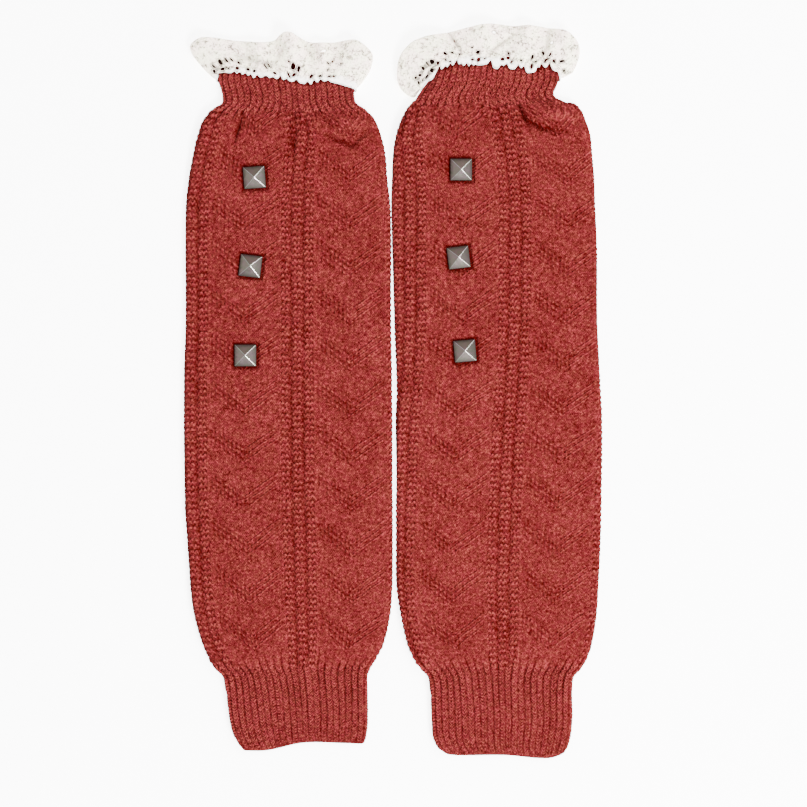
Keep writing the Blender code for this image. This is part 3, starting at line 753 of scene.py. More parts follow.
@dataclass(frozen=True)
class BodyChart(KnitStitch):
    """Plain knit with garter bands of staggered purl bumps, and V welts of three purl ridges between them."""

    bump_floor: float = 0.1
    bump_rise: float = 1.05
    bump_bow: float = 0.8
    bump_sides: float = 0.5
    band_groove: float = 0.37
    groove_at: float = 1.5
    welt_floor: float = 0.12
    welt_rise: float = 1.14
    smooth_arm: float = 0.3
    knobbly_arm: float = 0.8
    fine_lines: float = 0.5
    arm_half_width: float = 3.0

    def height(self, tree: Tree, wale: Term, course: Term) -> Term:
        """Build the nodes for the cloth's height, as for plain knit.

        Args:
            tree: The tree to build them in.
            wale: How many stitches along the round a point is.
            course: How many rows up it is.

        Returns:
            The height.
        """
        plain = super().height(tree, wale, course)
        aside = tree.math("PINGPONG", wale, REPEAT_WALES / 2)
        ridge, on_welt = self._welts(tree, wale, course, aside)
        in_band = tree.ramp(aside, BAND_WALES / 2 + 0.05, BAND_WALES / 2 - 0.1)
        return tree.blend(in_band, tree.blend(on_welt, plain, ridge), self._bumps(tree, wale, course, aside))

    def _bumps(self, tree: Tree, wale: Term, course: Term, aside: Term) -> Term:
        """Build the garter bands' bowed bumps, in pairs of wales, the middle pair a course higher.

        Args:
            tree: The tree.
            wale: A point's wale.
            course: Its course.
            aside: How many wales it is from the middle of the nearest band.

        Returns:
            The bumps' height.
        """
        square = self.side(wale) * self.side(wale)
        row = square * self.bump_bow + (course - 0.5 + (aside < self.groove_at))
        bump = tree.ramp((row * math.pi).wave(), 0.1, 0.9) * (square * -self.bump_sides + 1.0)
        groove = tree.ramp(abs(aside - self.groove_at), 0.5, 0.1) * self.band_groove
        return bump * (1.0 - groove) * self.bump_rise + self.bump_floor - groove

    def _welts(self, tree: Tree, wale: Term, course: Term, aside: Term) -> tuple[Term, Term]:
        """Build the V welts, with a knobbly left arm and a smooth right one.

        Args:
            tree: The tree.
            wale: A point's wale.
            course: Its course.
            aside: How many wales it is from the middle of the nearest band.

        Returns:
            The ridges' height, and 1 where they are.
        """
        middle = REPEAT_WALES / 2 - aside
        row = (((course - middle) / REPEAT_COURSES + 0.5).fraction() - 0.5) * REPEAT_COURSES
        left_arm = (wale / REPEAT_WALES).fraction() < 0.5
        fine = left_arm * -self.fine_lines + self.fine_lines
        ridge = tree.blend(fine, (row * math.pi).wave(), (row * (2 * math.pi)).wave())
        knobbly = left_arm.at_least(middle < 2.0)
        notch = self.side(wale) * tree.blend(knobbly, self.smooth_arm, self.knobbly_arm)
        on_arm = tree.ramp(abs(row), self.arm_half_width + 0.3, self.arm_half_width - 0.3)
        on_arm = on_arm * tree.ramp(middle, ARM_WALES + 0.5, ARM_WALES - 0.2)
        faded = on_arm * tree.ramp(middle, ARM_WALES * 2.6, ARM_WALES * 0.4)
        last = (LAST_WELT_BELOW - COURSE_ORIGIN) / COURSE
        return ridge * (1.0 - notch) * self.welt_rise + self.welt_floor, faded * (course > last)


BODY_CHART = BodyChart()
RIB_CHART = KnitStitch(share=0.9, floor=0.3, rise=1.0, leg_floor=0.1, wale_groove=0.6, centre_dip=0.4)


@dataclass(frozen=True)
class YarnFinish:
    """Heathered wool yarn, with its stitches read from the piece's stitch coordinates, and painted shade and
    highlights by the stitch height, the cloth's lift and the points' painted shade.
    """

    name: str
    chart: KnitStitch
    body: Colour
    # Painted highlight on the stitch crowns, mixed with the heather's light tones
    light: Colour
    # Painted shade in the gaps, creases and grooves, mixed with the heather's dark tones
    dark: Colour
    crimson: Colour = (1.05, 0.82, 1.02)
    amber: Colour = (0.99, 1.14, 0.94)
    nap: Colour = (1.0, 0.25, 0.2)
    # How far the stitch height and the cloth's lift paint highlights and shade into the yarn
    relief_shading: float = 0.8
    lift_shading: float = 0.4
    heather: float = 3.3
    fibre: float = 3.0
    patch: float = 0.5
    stitch_chance: float = 0.2

    def material(self) -> bpy.types.Material:
        """Build the material.

        Returns:
            The yarn's material.
        """
        material, tree, shader = new_material(self.name)
        stitch, place = tree.stitch(), tree.place()
        wale, course, _ = tree.parts(stitch)
        height = self.chart.height(tree, wale, course)
        fibre = tree.noise(place, 1250.0, 3.0, 0.7)
        feeds = {
            "Base Color": self._colour(tree, place, stitch, height, fibre),
            "Normal": tree.bump(height + fibre * 0.5, 0.9, 0.5),
            "Roughness": 0.95,
            "Sheen Weight": 0.008,
            "Sheen Roughness": 0.4,
            "Sheen Tint": (*self.nap, 1.0),
            "Specular IOR Level": 0.005,
        }
        tree.feed(shader, feeds)
        return material

    def _colour(self, tree: Tree, place: Socket, stitch: Socket, height: Term, fibre: Term) -> Socket:
        """Mottle the yarn: painted highlights on the stitch crowns, painted shade in the gaps between
        stitches, in creases and grooves, round the studs and under the lace, and a drifting hue.

        Args:
            tree: The material's tree.
            place: A point's place.
            stitch: Its stitch coordinates.
            height: Its height in the stitch.
            fibre: The fine fibres' noise.

        Returns:
            The colour's socket.
        """
        cell = tree.add("ShaderNodeVectorMath", {0: stitch}, operation="FLOOR")[0]
        chance = Term(tree, tree.add("ShaderNodeTexWhiteNoise", {"Vector": cell}, noise_dimensions="2D")[0])
        heather, patch = tree.noise(place, 760.0, 2.0, 0.6), tree.noise(place, 60.0, 3.0, 0.6)
        # Painted shade and highlights: lighter where the cloth is lifted and on the stitch crowns, darker in
        # the gaps and where the points carry painted shade
        shade = tree.value("lift") * self.lift_shading + height * self.relief_shading - tree.value("hollow")
        shares = (self.heather, self.fibre, self.patch, self.stitch_chance)
        for value, share in zip((heather, fibre, patch, chance), shares):
            shade = (value - 0.5) * share + shade
        colour = tree.tint(tree.ramp(shade, -0.35, 0.5), self.dark, self.body)
        colour = tree.tint(tree.ramp(shade, 0.5, 1.5), colour, self.light)
        drift = tree.ramp(tree.noise(place, 420.0, 4.0, 0.7), 0.36, 0.66)
        return tree.tinged(colour, drift, self.crimson, self.amber)


@dataclass(frozen=True)
class LaceFinish:
    """Ivory cotton lace with a fine net of threads and pinholes, painted shade in its folds, deep inside the
    ruffle and in its smallest pinholes, and a painted glow of its own colour.
    """

    name: str
    thread: Colour
    net: Colour
    # Dark tone of the mottle, and the colour of the painted shade in folds
    shadow: Colour
    # Painted shade: near-black deep inside the ruffle
    inside: Colour = (0.012, 0.004, 0.0035)
    # Painted shade seen through the smallest pinholes
    pinhole_shade: Colour = (0.16, 0.12, 0.11)
    rose: Colour = (1.0, 0.91, 0.93)
    lime: Colour = (0.96, 1.0, 0.89)
    # Painted light: the lace glows with its own colour
    glow: float = 1.2

    def material(self) -> bpy.types.Material:
        """Build the material.

        Returns:
            The lace's material.
        """
        material, tree, shader = new_material(self.name)
        cloth, place = tree.stitch(), tree.place()
        above, hollow = tree.parts(cloth)[1], tree.value("hollow")
        feeds = {"Vector": cloth, "Scale": 0.95, "Randomness": 0.75}
        cells = tree.add("ShaderNodeTexVoronoi", feeds, voronoi_dimensions="2D")
        chance, near = tree.parts(cells["Color"])[0], Term(tree, cells["Distance"])
        pinhole = tree.ramp(near, 0.42, 0.1) * tree.ramp(chance, 0.25, 1.0)
        fine = tree.noise(place, 950.0, 4.0, 0.75)
        crumple = tree.noise(place, 380.0, 2.0, 0.6)
        soft = tree.ramp(tree.noise(place, 150.0, 4.0, 0.65), 0.32, 0.72)
        tone = pinhole * 0.5 + soft * 0.45 + (fine - 0.5) * 6.2 + (crumple - 0.5) * 4.2
        colour = tree.tint(tree.ramp(tone, 0.0, 1.5), self.net, self.shadow)
        # Painted shade in the smallest pinholes near the border
        painted_pinholes = tree.ramp(near, 0.4, 0.22) * tree.ramp(chance, 0.5, 0.6)
        colour = tree.tint(painted_pinholes * tree.ramp(soft * -4.0 + above, 9.0, 4.0), colour, self.pinhole_shade)
        drift = tree.ramp(tree.noise(place, 130.0, 4.0, 0.75), 0.4, 0.6)
        colour = tree.tinged(colour, drift, self.rose, self.lime)
        colour = tree.tint(tree.ramp(soft * 2.0 + above, 5.0, 1.6), colour, self.thread)
        # Painted shade in the folds, and near-black painted shade deep inside the ruffle
        colour = tree.tint(tree.ramp(hollow, 0.0, 1.2), colour, self.shadow)
        colour = tree.tint(tree.ramp(hollow, 1.1, 1.8), colour, self.inside)
        # The lace glows with painted light of its own colour
        feeds = {
            "Base Color": colour,
            "Emission Color": colour,
            "Emission Strength": self.glow,
            "Normal": tree.bump(fine * 0.5 - pinhole * 0.9 + crumple * 2.4, 0.8, 0.35),
            "Roughness": 0.85,
            "Specular IOR Level": 0.1,
        }
        tree.feed(shader, feeds)
        return material


@dataclass(frozen=True)
class PewterFinish:
    """Antique pewter plating, worn bright on the ridges and dark at the foot, with a painted warm reflection
    on its upper face, a painted highlight on its left face and painted shade on its right face.
    """

    name: str
    metal: Colour
    worn: Colour
    # The patina colour also paints shade on the right face; the next two are a painted warm reflection and a
    # painted highlight
    patina_and_shade: Colour
    painted_reflection: Colour
    left_face_highlight: Colour
    green: Colour = (0.93, 1.04, 0.94)
    violet: Colour = (1.07, 0.95, 1.06)

    def material(self) -> bpy.types.Material:
        """Build the material.

        Returns:
            The studs' material.
        """
        material, tree, shader = new_material(self.name)
        square, place = tree.stitch(), tree.place()
        across, up, _ = tree.parts(square)
        x, y = abs(across), abs(up)
        cloud = tree.noise(place, 420.0, 4.0, 0.65)
        ridge = tree.ramp(cloud * -0.05 + abs(x - y), 0.035, -0.03)
        foot = tree.ramp(cloud * 0.5 + x.at_least(y), 0.85, 1.35)
        # Painted reflection: a warm tint on the upper face
        upper_face = tree.ramp(cloud * 0.4 + (up - x), 0.15, 0.35)
        # Painted highlight on the left face, painted shade on the right one
        left, right = tree.ramp(across * -1.0 - y, 0.0, 0.1), tree.ramp(across - y, 0.0, 0.1)
        colour = tree.tint(tree.ramp(cloud, 0.35, 0.75), self.patina_and_shade, self.metal)
        # Metal, a painted highlight on the left face, painted shade on the right, a painted reflection on the
        # upper face, worn ridges, and a darker foot that is darkest on the upper face
        coats = (
            (0.55, self.metal),
            (left, self.left_face_highlight),
            (right * 0.4, self.patina_and_shade),
            (upper_face * 0.8, self.painted_reflection),
            (ridge * 0.8, self.worn),
            (foot * tree.blend(upper_face, 0.7, 0.95), self.patina_and_shade),
        )
        for part, coat in coats:
            colour = tree.tint(part, colour, coat)
        drift = tree.ramp(tree.noise(place, 380.0, 3.0, 0.6), 0.36, 0.64)
        scratch = tree.add("ShaderNodeMapping", {"Vector": square, "Scale": (3.0, 60.0, 1.0)})[0]
        feeds = {
            "Base Color": tree.tinged(colour, drift, self.green, self.violet),
            "Roughness": tree.blend(ridge, tree.blend(cloud, 0.36, 0.5), 0.3),
            "Normal": tree.bump(tree.noise(scratch, 1.0) * 0.4 + cloud, 0.15, 0.08),
            "Metallic": 1.0,
        }
        tree.feed(shader, feeds)
        return material


@dataclass(frozen=True)
class PaperFinish:
    """The plain pale floor."""

    name: str
    colour: Colour
    glow: float

    def material(self) -> bpy.types.Material:
        """Build the material.

        Returns:
            The floor's material.
        """
        material, tree, shader = new_material(self.name)
        shaded = tuple(0.985 * part for part in self.colour)
        feeds = {
            "Base Color": tree.tint(tree.noise(tree.place(), 3.0), self.colour, shaded),
            "Roughness": 0.9,
            "Specular IOR Level": 0.0,
            "Emission Color": (1.0, 1.0, 1.0, 1.0),
            "Emission Strength": self.glow,
        }
        tree.feed(shader, feeds)
        return material


@dataclass
class Draft:
    """A mesh that is being put together from grids of points, with stitch coordinates at its corners."""

    middle: float
    points: list[Array] = field(default_factory=list)
    layers: dict[str, list[Array]] = field(default_factory=dict)
    triangles: list[Array] = field(default_factory=list)
    stitches: list[Array] = field(default_factory=list)
    count: int = 0

    def grid(self, across: Array, up: Array, height: Array, **layers: Array | float) -> Array:
        """Add a grid of points.

        Args:
            across: Each point's place across the leg, in mm.
            up: Its place up the leg.
            height: Its height.
            **layers: A value for each point of each named attribute.

        Returns:
            The points' numbers, in the same grid.
        """
        across, up, height = np.broadcast_arrays(across, up, height)
        self.points.append(np.stack([across + self.middle, up, height], -1).reshape(-1, 3) * MM)
        for name in dict.fromkeys([*self.layers, *layers]):
            value = np.broadcast_to(layers.get(name, 0.0), across.shape).reshape(-1)
            self.layers.setdefault(name, [np.zeros(self.count)] if self.count else []).append(value)
        ids = np.arange(self.count, self.count + across.size).reshape(across.shape)
        self.count += across.size
        return ids

    def fill(
        self, ids: Array, wale: Array, course: Array, falling: Array | bool = True, flip: bool = False
    ) -> None:
        """Fill a grid with triangles.

        Args:
            ids: The grid's point numbers, in rows up the leg and columns round it.
            wale: Each point's first stitch coordinate.
            course: Its second one.
            falling: Where each quad is cut from its upper left corner to its lower right one.
            flip: Whether the faces look inwards.
        """
        stitch = np.stack([np.broadcast_to(part, ids.shape) for part in (wale, course)], -1)
        spots = np.arange(ids.size).reshape(ids.shape)
        a, b, c, d = spots[:-1, :-1], spots[:-1, 1:], spots[1:, 1:], spots[1:, :-1]
        falling = np.broadcast_to(falling, a.shape)[..., None]
        first = np.where(falling, np.stack([a, b, d], -1), np.stack([a, b, c], -1))
        second = np.where(falling, np.stack([b, c, d], -1), np.stack([a, c, d], -1))
        corners = np.concatenate([first.reshape(-1, 3), second.reshape(-1, 3)])
        self.add_triangles(ids.reshape(-1)[corners], stitch.reshape(-1, 2)[corners], flip)

    def add_triangles(self, triangles: Array, stitches: Array, flip: bool = False) -> None:
        """Add triangles.

        Args:
            triangles: Three point numbers for each.
            stitches: A stitch coordinate for each corner.
            flip: Whether to turn them round.
        """
        if flip:
            triangles, stitches = triangles[:, ::-1], stitches[:, ::-1]
        self.triangles.append(triangles)
        self.stitches.append(stitches)

    def zip(
        self,
        first: Array,
        first_at: Array,
        second: Array,
        second_at: Array,
        stitch: Array,
        flip: bool = False,
    ) -> None:
        """Fill the gap between two lines of points that run side by side with their own spacing.

        Args:
            first: The first line's point numbers.
            first_at: How far along each of them is.
            second: The second line's point numbers.
            second_at: How far along each of those is.
            stitch: The stitch coordinate of the whole gap.
            flip: Whether to turn the faces round.
        """
        i = j = 0
        triangles = []
        while i < len(first) - 1 or j < len(second) - 1:
            if j == len(second) - 1 or (i < len(first) - 1 and first_at[i + 1] <= second_at[j + 1]):
                triangles.append((first[i], first[i + 1], second[j]))
                i += 1
            else:
                triangles.append((first[i], second[j + 1], second[j]))
                j += 1
        triangles = np.array(triangles)
        self.add_triangles(triangles, np.broadcast_to(stitch, (len(triangles), 3, 2)), flip)

    def build(self, name: str) -> bpy.types.Object:
        """Make the object.

        Args:
            name: The object's name.

        Returns:
            The object, smooth, with its attributes and its stitch coordinates as a UV map.
        """
        points = np.concatenate(self.points)
        triangles = np.concatenate(self.triangles)
        mesh = bpy.data.meshes.new(name)
        mesh.vertices.add(len(points))
        mesh.vertices.foreach_set("co", points.astype(np.float32).reshape(-1))
        mesh.loops.add(triangles.size)
        mesh.loops.foreach_set("vertex_index", triangles.astype(np.int32).reshape(-1))
        mesh.polygons.add(len(triangles))
        mesh.polygons.foreach_set("loop_start", np.arange(0, triangles.size, 3, dtype=np.int32))
        mesh.update(calc_edges=True)
        stitches = mesh.uv_layers.new(name="stitch")
        stitches.uv.foreach_set("vector", np.concatenate(self.stitches).astype(np.float32).reshape(-1))
        for layer, values in self.layers.items():
            attribute = mesh.attributes.new(layer, "FLOAT", "POINT")
            attribute.data.foreach_set("value", np.concatenate(values).astype(np.float32))
        mesh.validate()
        mesh.shade_smooth()
        return placed(name, mesh)


def placed(name: str, data: bpy.types.ID) -> bpy.types.Object:
    """Put a mesh, lamp or camera into the scene.

    Args:
        name: The object's name.
        data: What it shows.

    Returns:
        The object.
    """
    thing = bpy.data.objects.new(name, data)
    bpy.context.scene.collection.objects.link(thing)
    return thing


def modified(piece: bpy.types.Object, tree: bpy.types.NodeTree, **inputs: object) -> bpy.types.Object:
    """Run a Geometry Nodes tree on a piece and keep the result as its plain mesh.

    Args:
        piece: The piece to change.
        tree: The tree to run.
        **inputs: Values for the tree's inputs, by name with underscores for spaces.

    Returns:
        The piece.
    """
    modifier = piece.modifiers.new("form", "NODES")
    modifier.node_group = tree
    for socket in tree.interface.items_tree:
        name = socket.name.replace(" ", "_")
        if socket.item_type == "SOCKET" and name in inputs:
            modifier[socket.identifier] = inputs[name]
    graph = bpy.context.evaluated_depsgraph_get()
    made = bpy.data.meshes.new_from_object(piece.evaluated_get(graph), depsgraph=graph)
    piece.modifiers.clear()
    plain, piece.data = piece.data, made
    for slot in reversed(range(len(made.materials))):
        if made.materials[slot] is None:
            made.materials.pop(index=slot)
    bpy.data.meshes.remove(plain)
    made.name = piece.name
    return piece


def new_form(name: str, **inputs: str) -> tuple[Tree, dict[str, Socket]]:
    """Start a Geometry Nodes tree.

    Args:
        name: The tree's name.
        **inputs: The kind of each input after the geometry, by name with underscores for spaces.

    Returns:
        The tree and its inputs by name.
    """
    nodes = bpy.data.node_groups.new(name, "GeometryNodeTree")
    nodes.is_modifier = True
    nodes.interface.new_socket("Geometry", in_out="OUTPUT", socket_type="NodeSocketGeometry")
    for label, kind in {"Geometry": "Geometry", **inputs, "Material": "Material"}.items():
        nodes.interface.new_socket(label.replace("_", " "), in_out="INPUT", socket_type=f"NodeSocket{kind}")
    tree = Tree(nodes)
    return tree, {socket.name: socket for socket in tree.add("NodeGroupInput") if socket.name}


def close_form(tree: Tree, geometry: Socket, material: Socket) -> bpy.types.NodeTree:
    """End a Geometry Nodes tree with its instances realized and its material set.

    Args:
        tree: The tree.
        geometry: What it has made.
        material: The material's input.

    Returns:
        The finished node tree.
    """
    real = tree.add("GeometryNodeRealizeInstances", {0: geometry})[0]
    dressed = tree.add("GeometryNodeSetMaterial", {"Geometry": real, "Material": material})[0]
    tree.add("NodeGroupOutput", {0: dressed})
    return tree.nodes


def point_value(tree: Tree, name: str) -> Term:
    """A number that Geometry Nodes read from the points by name."""
    return Term(tree, tree.add("GeometryNodeInputNamedAttribute", {"Name": name}, data_type="FLOAT")[0])


def moved(tree: Tree, geometry: Socket, direction: Socket, distance: Term) -> Socket:
    """Points moved some distance along a direction."""
    step = tree.scaled(direction, distance)
    return tree.add("GeometryNodeSetPosition", {"Geometry": geometry, "Offset": step})[0]


def stitch_relief_form(name: str, chart: KnitStitch) -> bpy.types.NodeTree:
    """Build the tree that raises a chart's stitches from a smooth cloth.

    Args:
        name: The tree's name.
        chart: The chart.

    Returns:
        A tree that reads each point's wale and course, its own lift, how far its stitches stand out and
        whether it faces up.
    """
    tree, inputs = new_form(name, Stitch_Depth="Float")
    height = chart.height(tree, point_value(tree, "wale"), point_value(tree, "course"))
    facing = point_value(tree, "facing")
    sunk = (facing - 1.0) * STITCH_TOP + height
    stitches = sunk * inputs["Stitch Depth"] * point_value(tree, "stitch_share")
    offset = point_value(tree, "lift") * facing + stitches
    outward = tree.add("GeometryNodeInputNormal")[0]
    return close_form(tree, moved(tree, inputs["Geometry"], outward, offset * MM), inputs["Material"])


def lace_wall_form() -> bpy.types.NodeTree:
    """Build the tree that gives a lace sheet its thickness and a corded rim along every edge and eyelet.

    Returns:
        A tree that takes the wall's thickness, the cord's radius and its number of sides.
    """
    tree, inputs = new_form("lace wall", Thickness="Float", Cord_Radius="Float", Cord_Sides="Int")
    sheet = inputs["Geometry"]
    inward = tree.math("MULTIPLY", inputs["Thickness"], -1.0)
    outward = tree.add("GeometryNodeInputNormal")[0]
    feeds = {"Mesh": sheet, "Offset": outward, "Offset Scale": inward, "Individual": False}
    inner = tree.add("GeometryNodeExtrudeMesh", feeds, mode="FACES")[0]
    inner = tree.add("GeometryNodeFlipFaces", {0: inner})[0]
    # Painted shade: the inner faces take the near-black shade deep inside the ruffle
    feeds = {"Geometry": inner, "Name": "hollow", "Value": point_value(tree, "inner_hollow")}
    inner = tree.add("GeometryNodeStoreNamedAttribute", feeds)[0]
    border = tree.math("COMPARE", tree.add("GeometryNodeInputMeshEdgeNeighbors")[0], 1.0, 0.1)
    border = tree.add("GeometryNodeFieldOnDomain", {"Value": border}, data_type="FLOAT", domain="EDGE")[0]
    feeds = {"Geometry": tree.join(inner, sheet), "Selection": border, "Distance": 0.01 * MM}
    wall = tree.add("GeometryNodeMergeByDistance", feeds)[0]
    middle = moved(tree, sheet, outward, inward * 0.5)
    rim = tree.add("GeometryNodeMeshToCurve", {"Mesh": middle, "Selection": border})[0]
    feeds = {"Resolution": inputs["Cord Sides"], "Radius": inputs["Cord Radius"]}
    ring = tree.add("GeometryNodeCurvePrimitiveCircle", feeds)[0]
    cord = tree.add("GeometryNodeCurveToMesh", {"Curve": rim, "Profile Curve": ring})[0]
    cord = tree.add("GeometryNodeSetShadeSmooth", {"Geometry": cord, "Shade Smooth": True})[0]
    return close_form(tree, tree.join(cord, wall), inputs["Material"])


@dataclass
class KnittedBody:
    """The long knitted tube between the ribbed ends, with its garter bands and V welts."""

    plan: LegPlan
    finish: YarnFinish
    relief: bpy.types.NodeTree
    band_lift: float = 0.2
    roughness: float = 0.09
    # Painted shade in creases and round the studs
    hollow_share: float = 0.45
    stud_shade: float = 0.6
    seed: int = 11
    gather_run: float = 8.0
    gather_share: float = 0.75
    gather_shade: float = 0.6
    ankle_gathers: float = 0.9
    slack: float = 1.6
    slack_run: float = 18.0
    stud_reach: float = 6.8
    stud_rim: float = 1.2
    stud_dimple: float = 0.7

    def build(self) -> bpy.types.Object:
        """Build and dress the body.

        Returns:
            The finished piece.
        """
        draft = Draft(self.plan.middle)
        bottom, top = self.plan.body[-1].up, self.plan.body[0].up
        first, last = self.plan.fine_wales
        wales = np.arange(first, last + 0.001, 0.25)
        courses = self._rows(bottom, top, 2)
        front = self._surface(draft, wales, courses, fine=True)
        back_wales = np.arange(last, first + WALES_AROUND + 0.001, 1.0)
        back_courses = self._rows(bottom, top, 0.5)
        back = self._surface(draft, back_wales[1:-1], back_courses, fine=False)
        stitch = np.array([last, 0.0])
        draft.zip(back[:, 0], back_courses, front[:, -1], courses, stitch)
        draft.zip(front[:, 0], courses, back[:, -1], back_courses, stitch)
        rim_low = np.concatenate([front[0], back[0]])
        rim_high = np.concatenate([front[-1], back[-1]])
        places = np.concatenate([wales, back_wales[1:-1]])
        self._inside(draft, (bottom, top), (rim_low, rim_high), places)
        piece = draft.build(f"{self.plan.side.value}_body_knit")
        return modified(piece, self.relief, Stitch_Depth=STITCH_DEPTH, Material=self.finish.material())

    def _rows(self, bottom: float, top: float, per_course: float) -> Array:
        """Number the rows of points by courses, with the two ends at the body's own ends.

        Args:
            bottom: How far up the leg the lower end is.
            top: How far up the upper one is.
            per_course: How many rows each course has.

        Returns:
            Each row's course.
        """
        low, high = ((up - COURSE_ORIGIN) / COURSE for up in (bottom, top))
        first, last = math.ceil(low * per_course + 0.4), math.floor(high * per_course - 0.4)
        return np.concatenate([[low], np.arange(first, last + 1) / per_course, [high]])

    def _place(self, wale: Array, up: Array) -> tuple[Array, ...]:
        """Place points on the plain outer surface.

        Args:
            wale: Each point's wale.
            up: How far up the leg it is.

        Returns:
            Across, height, the outward direction's two parts and the place round the leg from 0 to 2.
        """
        left, right, band, top = tube_sizes(self.plan.body, up)
        girth = 2 * half_girth(left, right, 0.0, top)
        band_along = band - left - top / 2 + math.pi * top / 4
        along = (band_along + wale * girth / WALES_AROUND) % girth
        return (*flat_tube(left, right, 0.0, top, along), 2 * along / girth)

    def _surface(self, draft: Draft, wales: Array, courses: Array, fine: bool) -> Array:
        """Add one strip of the outer surface.

        Args:
            draft: The mesh to add it to.
            wales: The wale of each column of points.
            courses: The course of each row.
            fine: Whether its stitches are raised.

        Returns:
            The strip's point numbers.
        """
        wale, course = np.meshgrid(wales, courses)
        up = COURSE_ORIGIN + COURSE * course
        across, level, _, out_up, place = self._place(wale, up)
        facing = ease(out_up + 0.35)
        pressed = self._pressed(across, up)
        band = self.band_lift * ease(5.0 - np.abs((wale + 13) % REPEAT_WALES - 13))
        near, wave = self._gathers(place, up)
        lift = band * (1 - pressed) + near * wave - self.stud_dimple * pressed
        lift += 0.12 * waver(across * 0.11, up * 0.09, 1.3)
        if fine:
            lift += self.roughness * np.random.default_rng(self.seed).normal(size=lift.shape) * (1 - pressed)
        crease = crease_depth(self.plan.creases, across, up) * ease(out_up)
        share = (1 - 0.85 * pressed) * (0.4 + 0.6 * ease(1.6 * out_up)) * float(fine)
        # Painted shade: darker in creases, round the studs and in the gathers' grooves
        shade = self.hollow_share * crease + self.stud_shade * pressed
        shade += self.gather_shade * near * rib_shade(wave)
        drawn = self._drawn(wale, course, up)
        layers = {"wale": drawn[0], "course": drawn[1], "lift": lift, "hollow": shade}
        ids = draft.grid(across, up, level - crease, **layers, facing=facing, stitch_share=share)
        left_half, left_arm = (wales[:-1] / repeat % 1.0 < 0.5 for repeat in (1, REPEAT_WALES))
        draft.fill(ids, *drawn, np.where(self._on_welt(wale, course)[:-1, :-1], left_arm, left_half))
        return ids

    def _drawn(self, wale: Array, course: Array, up: Array) -> tuple[Array, Array]:
        """Draw the stitches a little out of line, most near the knee.

        Args:
            wale: Each point's wale.
            course: Its course.
            up: How far up the leg it is.

        Returns:
            The wale and the course at which its stitch is drawn.
        """
        slack = 1 + self.slack * ease((up - self.plan.body[0].up + self.slack_run) / self.slack_run)
        sideways = 0.1 * mottle(wale / 1.6, course / 2.1, 3) + 0.08 * mottle(wale / 6, course / 9, 4)
        lengthwise = 0.17 * mottle(wale / 1.7, course / 1.9, 6) + 0.12 * mottle(wale / 7, course / 5, 8)
        return wale + slack * sideways, course + slack * lengthwise

    def _on_welt(self, wale: Array, course: Array) -> Array:
        """Find the arms of the V welts.

        Args:
            wale: Points' wales.
            course: Their courses.

        Returns:
            Whether each point is on one.
        """
        from_middle = np.abs(wale % REPEAT_WALES - REPEAT_WALES / 2)
        row = (course - from_middle + REPEAT_COURSES / 2) % REPEAT_COURSES - REPEAT_COURSES / 2
        return (from_middle < ARM_WALES) & (np.abs(row) < 3.0)

    def _pressed(self, across: Array, up: Array) -> Array:
        """Press the cloth down under the studs.

        Args:
            across: Points' places across the leg.
            up: Their places up it.

        Returns:
            1 under a stud, falling to 0 just past its sides.
        """
        total = np.zeros(across.shape)
        for stud in self.plan.studs:
            local = turned(across - stud.across, up - stud.up, -math.radians(stud.turn))
            past = self.stud_reach + self.stud_rim - np.abs(local).max(-1)
            total = np.maximum(total, ease(past / self.stud_rim))
        return total

    def _gathers(self, place: Array, up: Array) -> tuple[Array, Array]:
        """Run soft pleats on from the ribs into both ends of the body.

        Args:
            place: Places round the leg, from 0 to 2.
            up: Places up it.

        Returns:
            The pleats' strength and their height.
        """
        bottom, top = self.plan.body[-1].up, self.plan.body[0].up
        reach = self.gather_run * (1 + 0.5 * waver(place * 31.0, place * 3.0, 2.1))
        near = self.gather_share * ease(1 - (top - up) / reach)
        near += self.ankle_gathers * ease(1.7 - 1.8 * (up - bottom) / reach)
        return near, rib_wave(place, 0.1)

    def _inside(
        self, draft: Draft, ends: tuple[float, float], rims: tuple[Array, Array], wales: Array
    ) -> None:
        """Add the plain inside and close both rims.

        Args:
            draft: The mesh to add it to.
            ends: How far up the leg the lower and the upper end are.
            rims: The outer surface's point numbers along them.
            wales: The wale of each of those points.
        """
        places = np.concatenate([np.linspace(0.01, 0.99, 20), np.linspace(1.01, 1.99, 20)])
        ups = np.linspace(*ends, 34)
        place, up = np.meshgrid(places, ups)
        left, right, _, high = tube_sizes(self.plan.body, up)
        left, right, high, low = left + KNIT_WALL, right - KNIT_WALL, high - KNIT_WALL, KNIT_WALL
        half = half_girth(left, right, low, high)
        across, level, _, out_up = flat_tube(left, right, low, high, place * half)
        level = level - crease_depth(self.plan.creases, across, up) * ease(out_up)
        ids = draft.grid(across, up, level)
        ring = np.concatenate([ids, ids[:, :1]], 1)
        draft.fill(ring, 0.5, 0.5, flip=True)
        for rim, row, flip in ((rims[0], 0, True), (rims[1], -1, False)):
            outer_places = self._place(wales, np.full(wales.shape, ups[row]))[4] / 2
            start = int(np.argmin(outer_places))
            rim, outer_places = np.roll(rim, -start), np.roll(outer_places, -start)
            rim, outer_places = np.append(rim, rim[0]), np.append(outer_places, outer_places[0] + 1)
            inner_places = np.append(places / 2, places[0] / 2 + 1)
            draft.zip(rim, outer_places, ring[row], inner_places, np.array([0.5, 0.5]), flip)


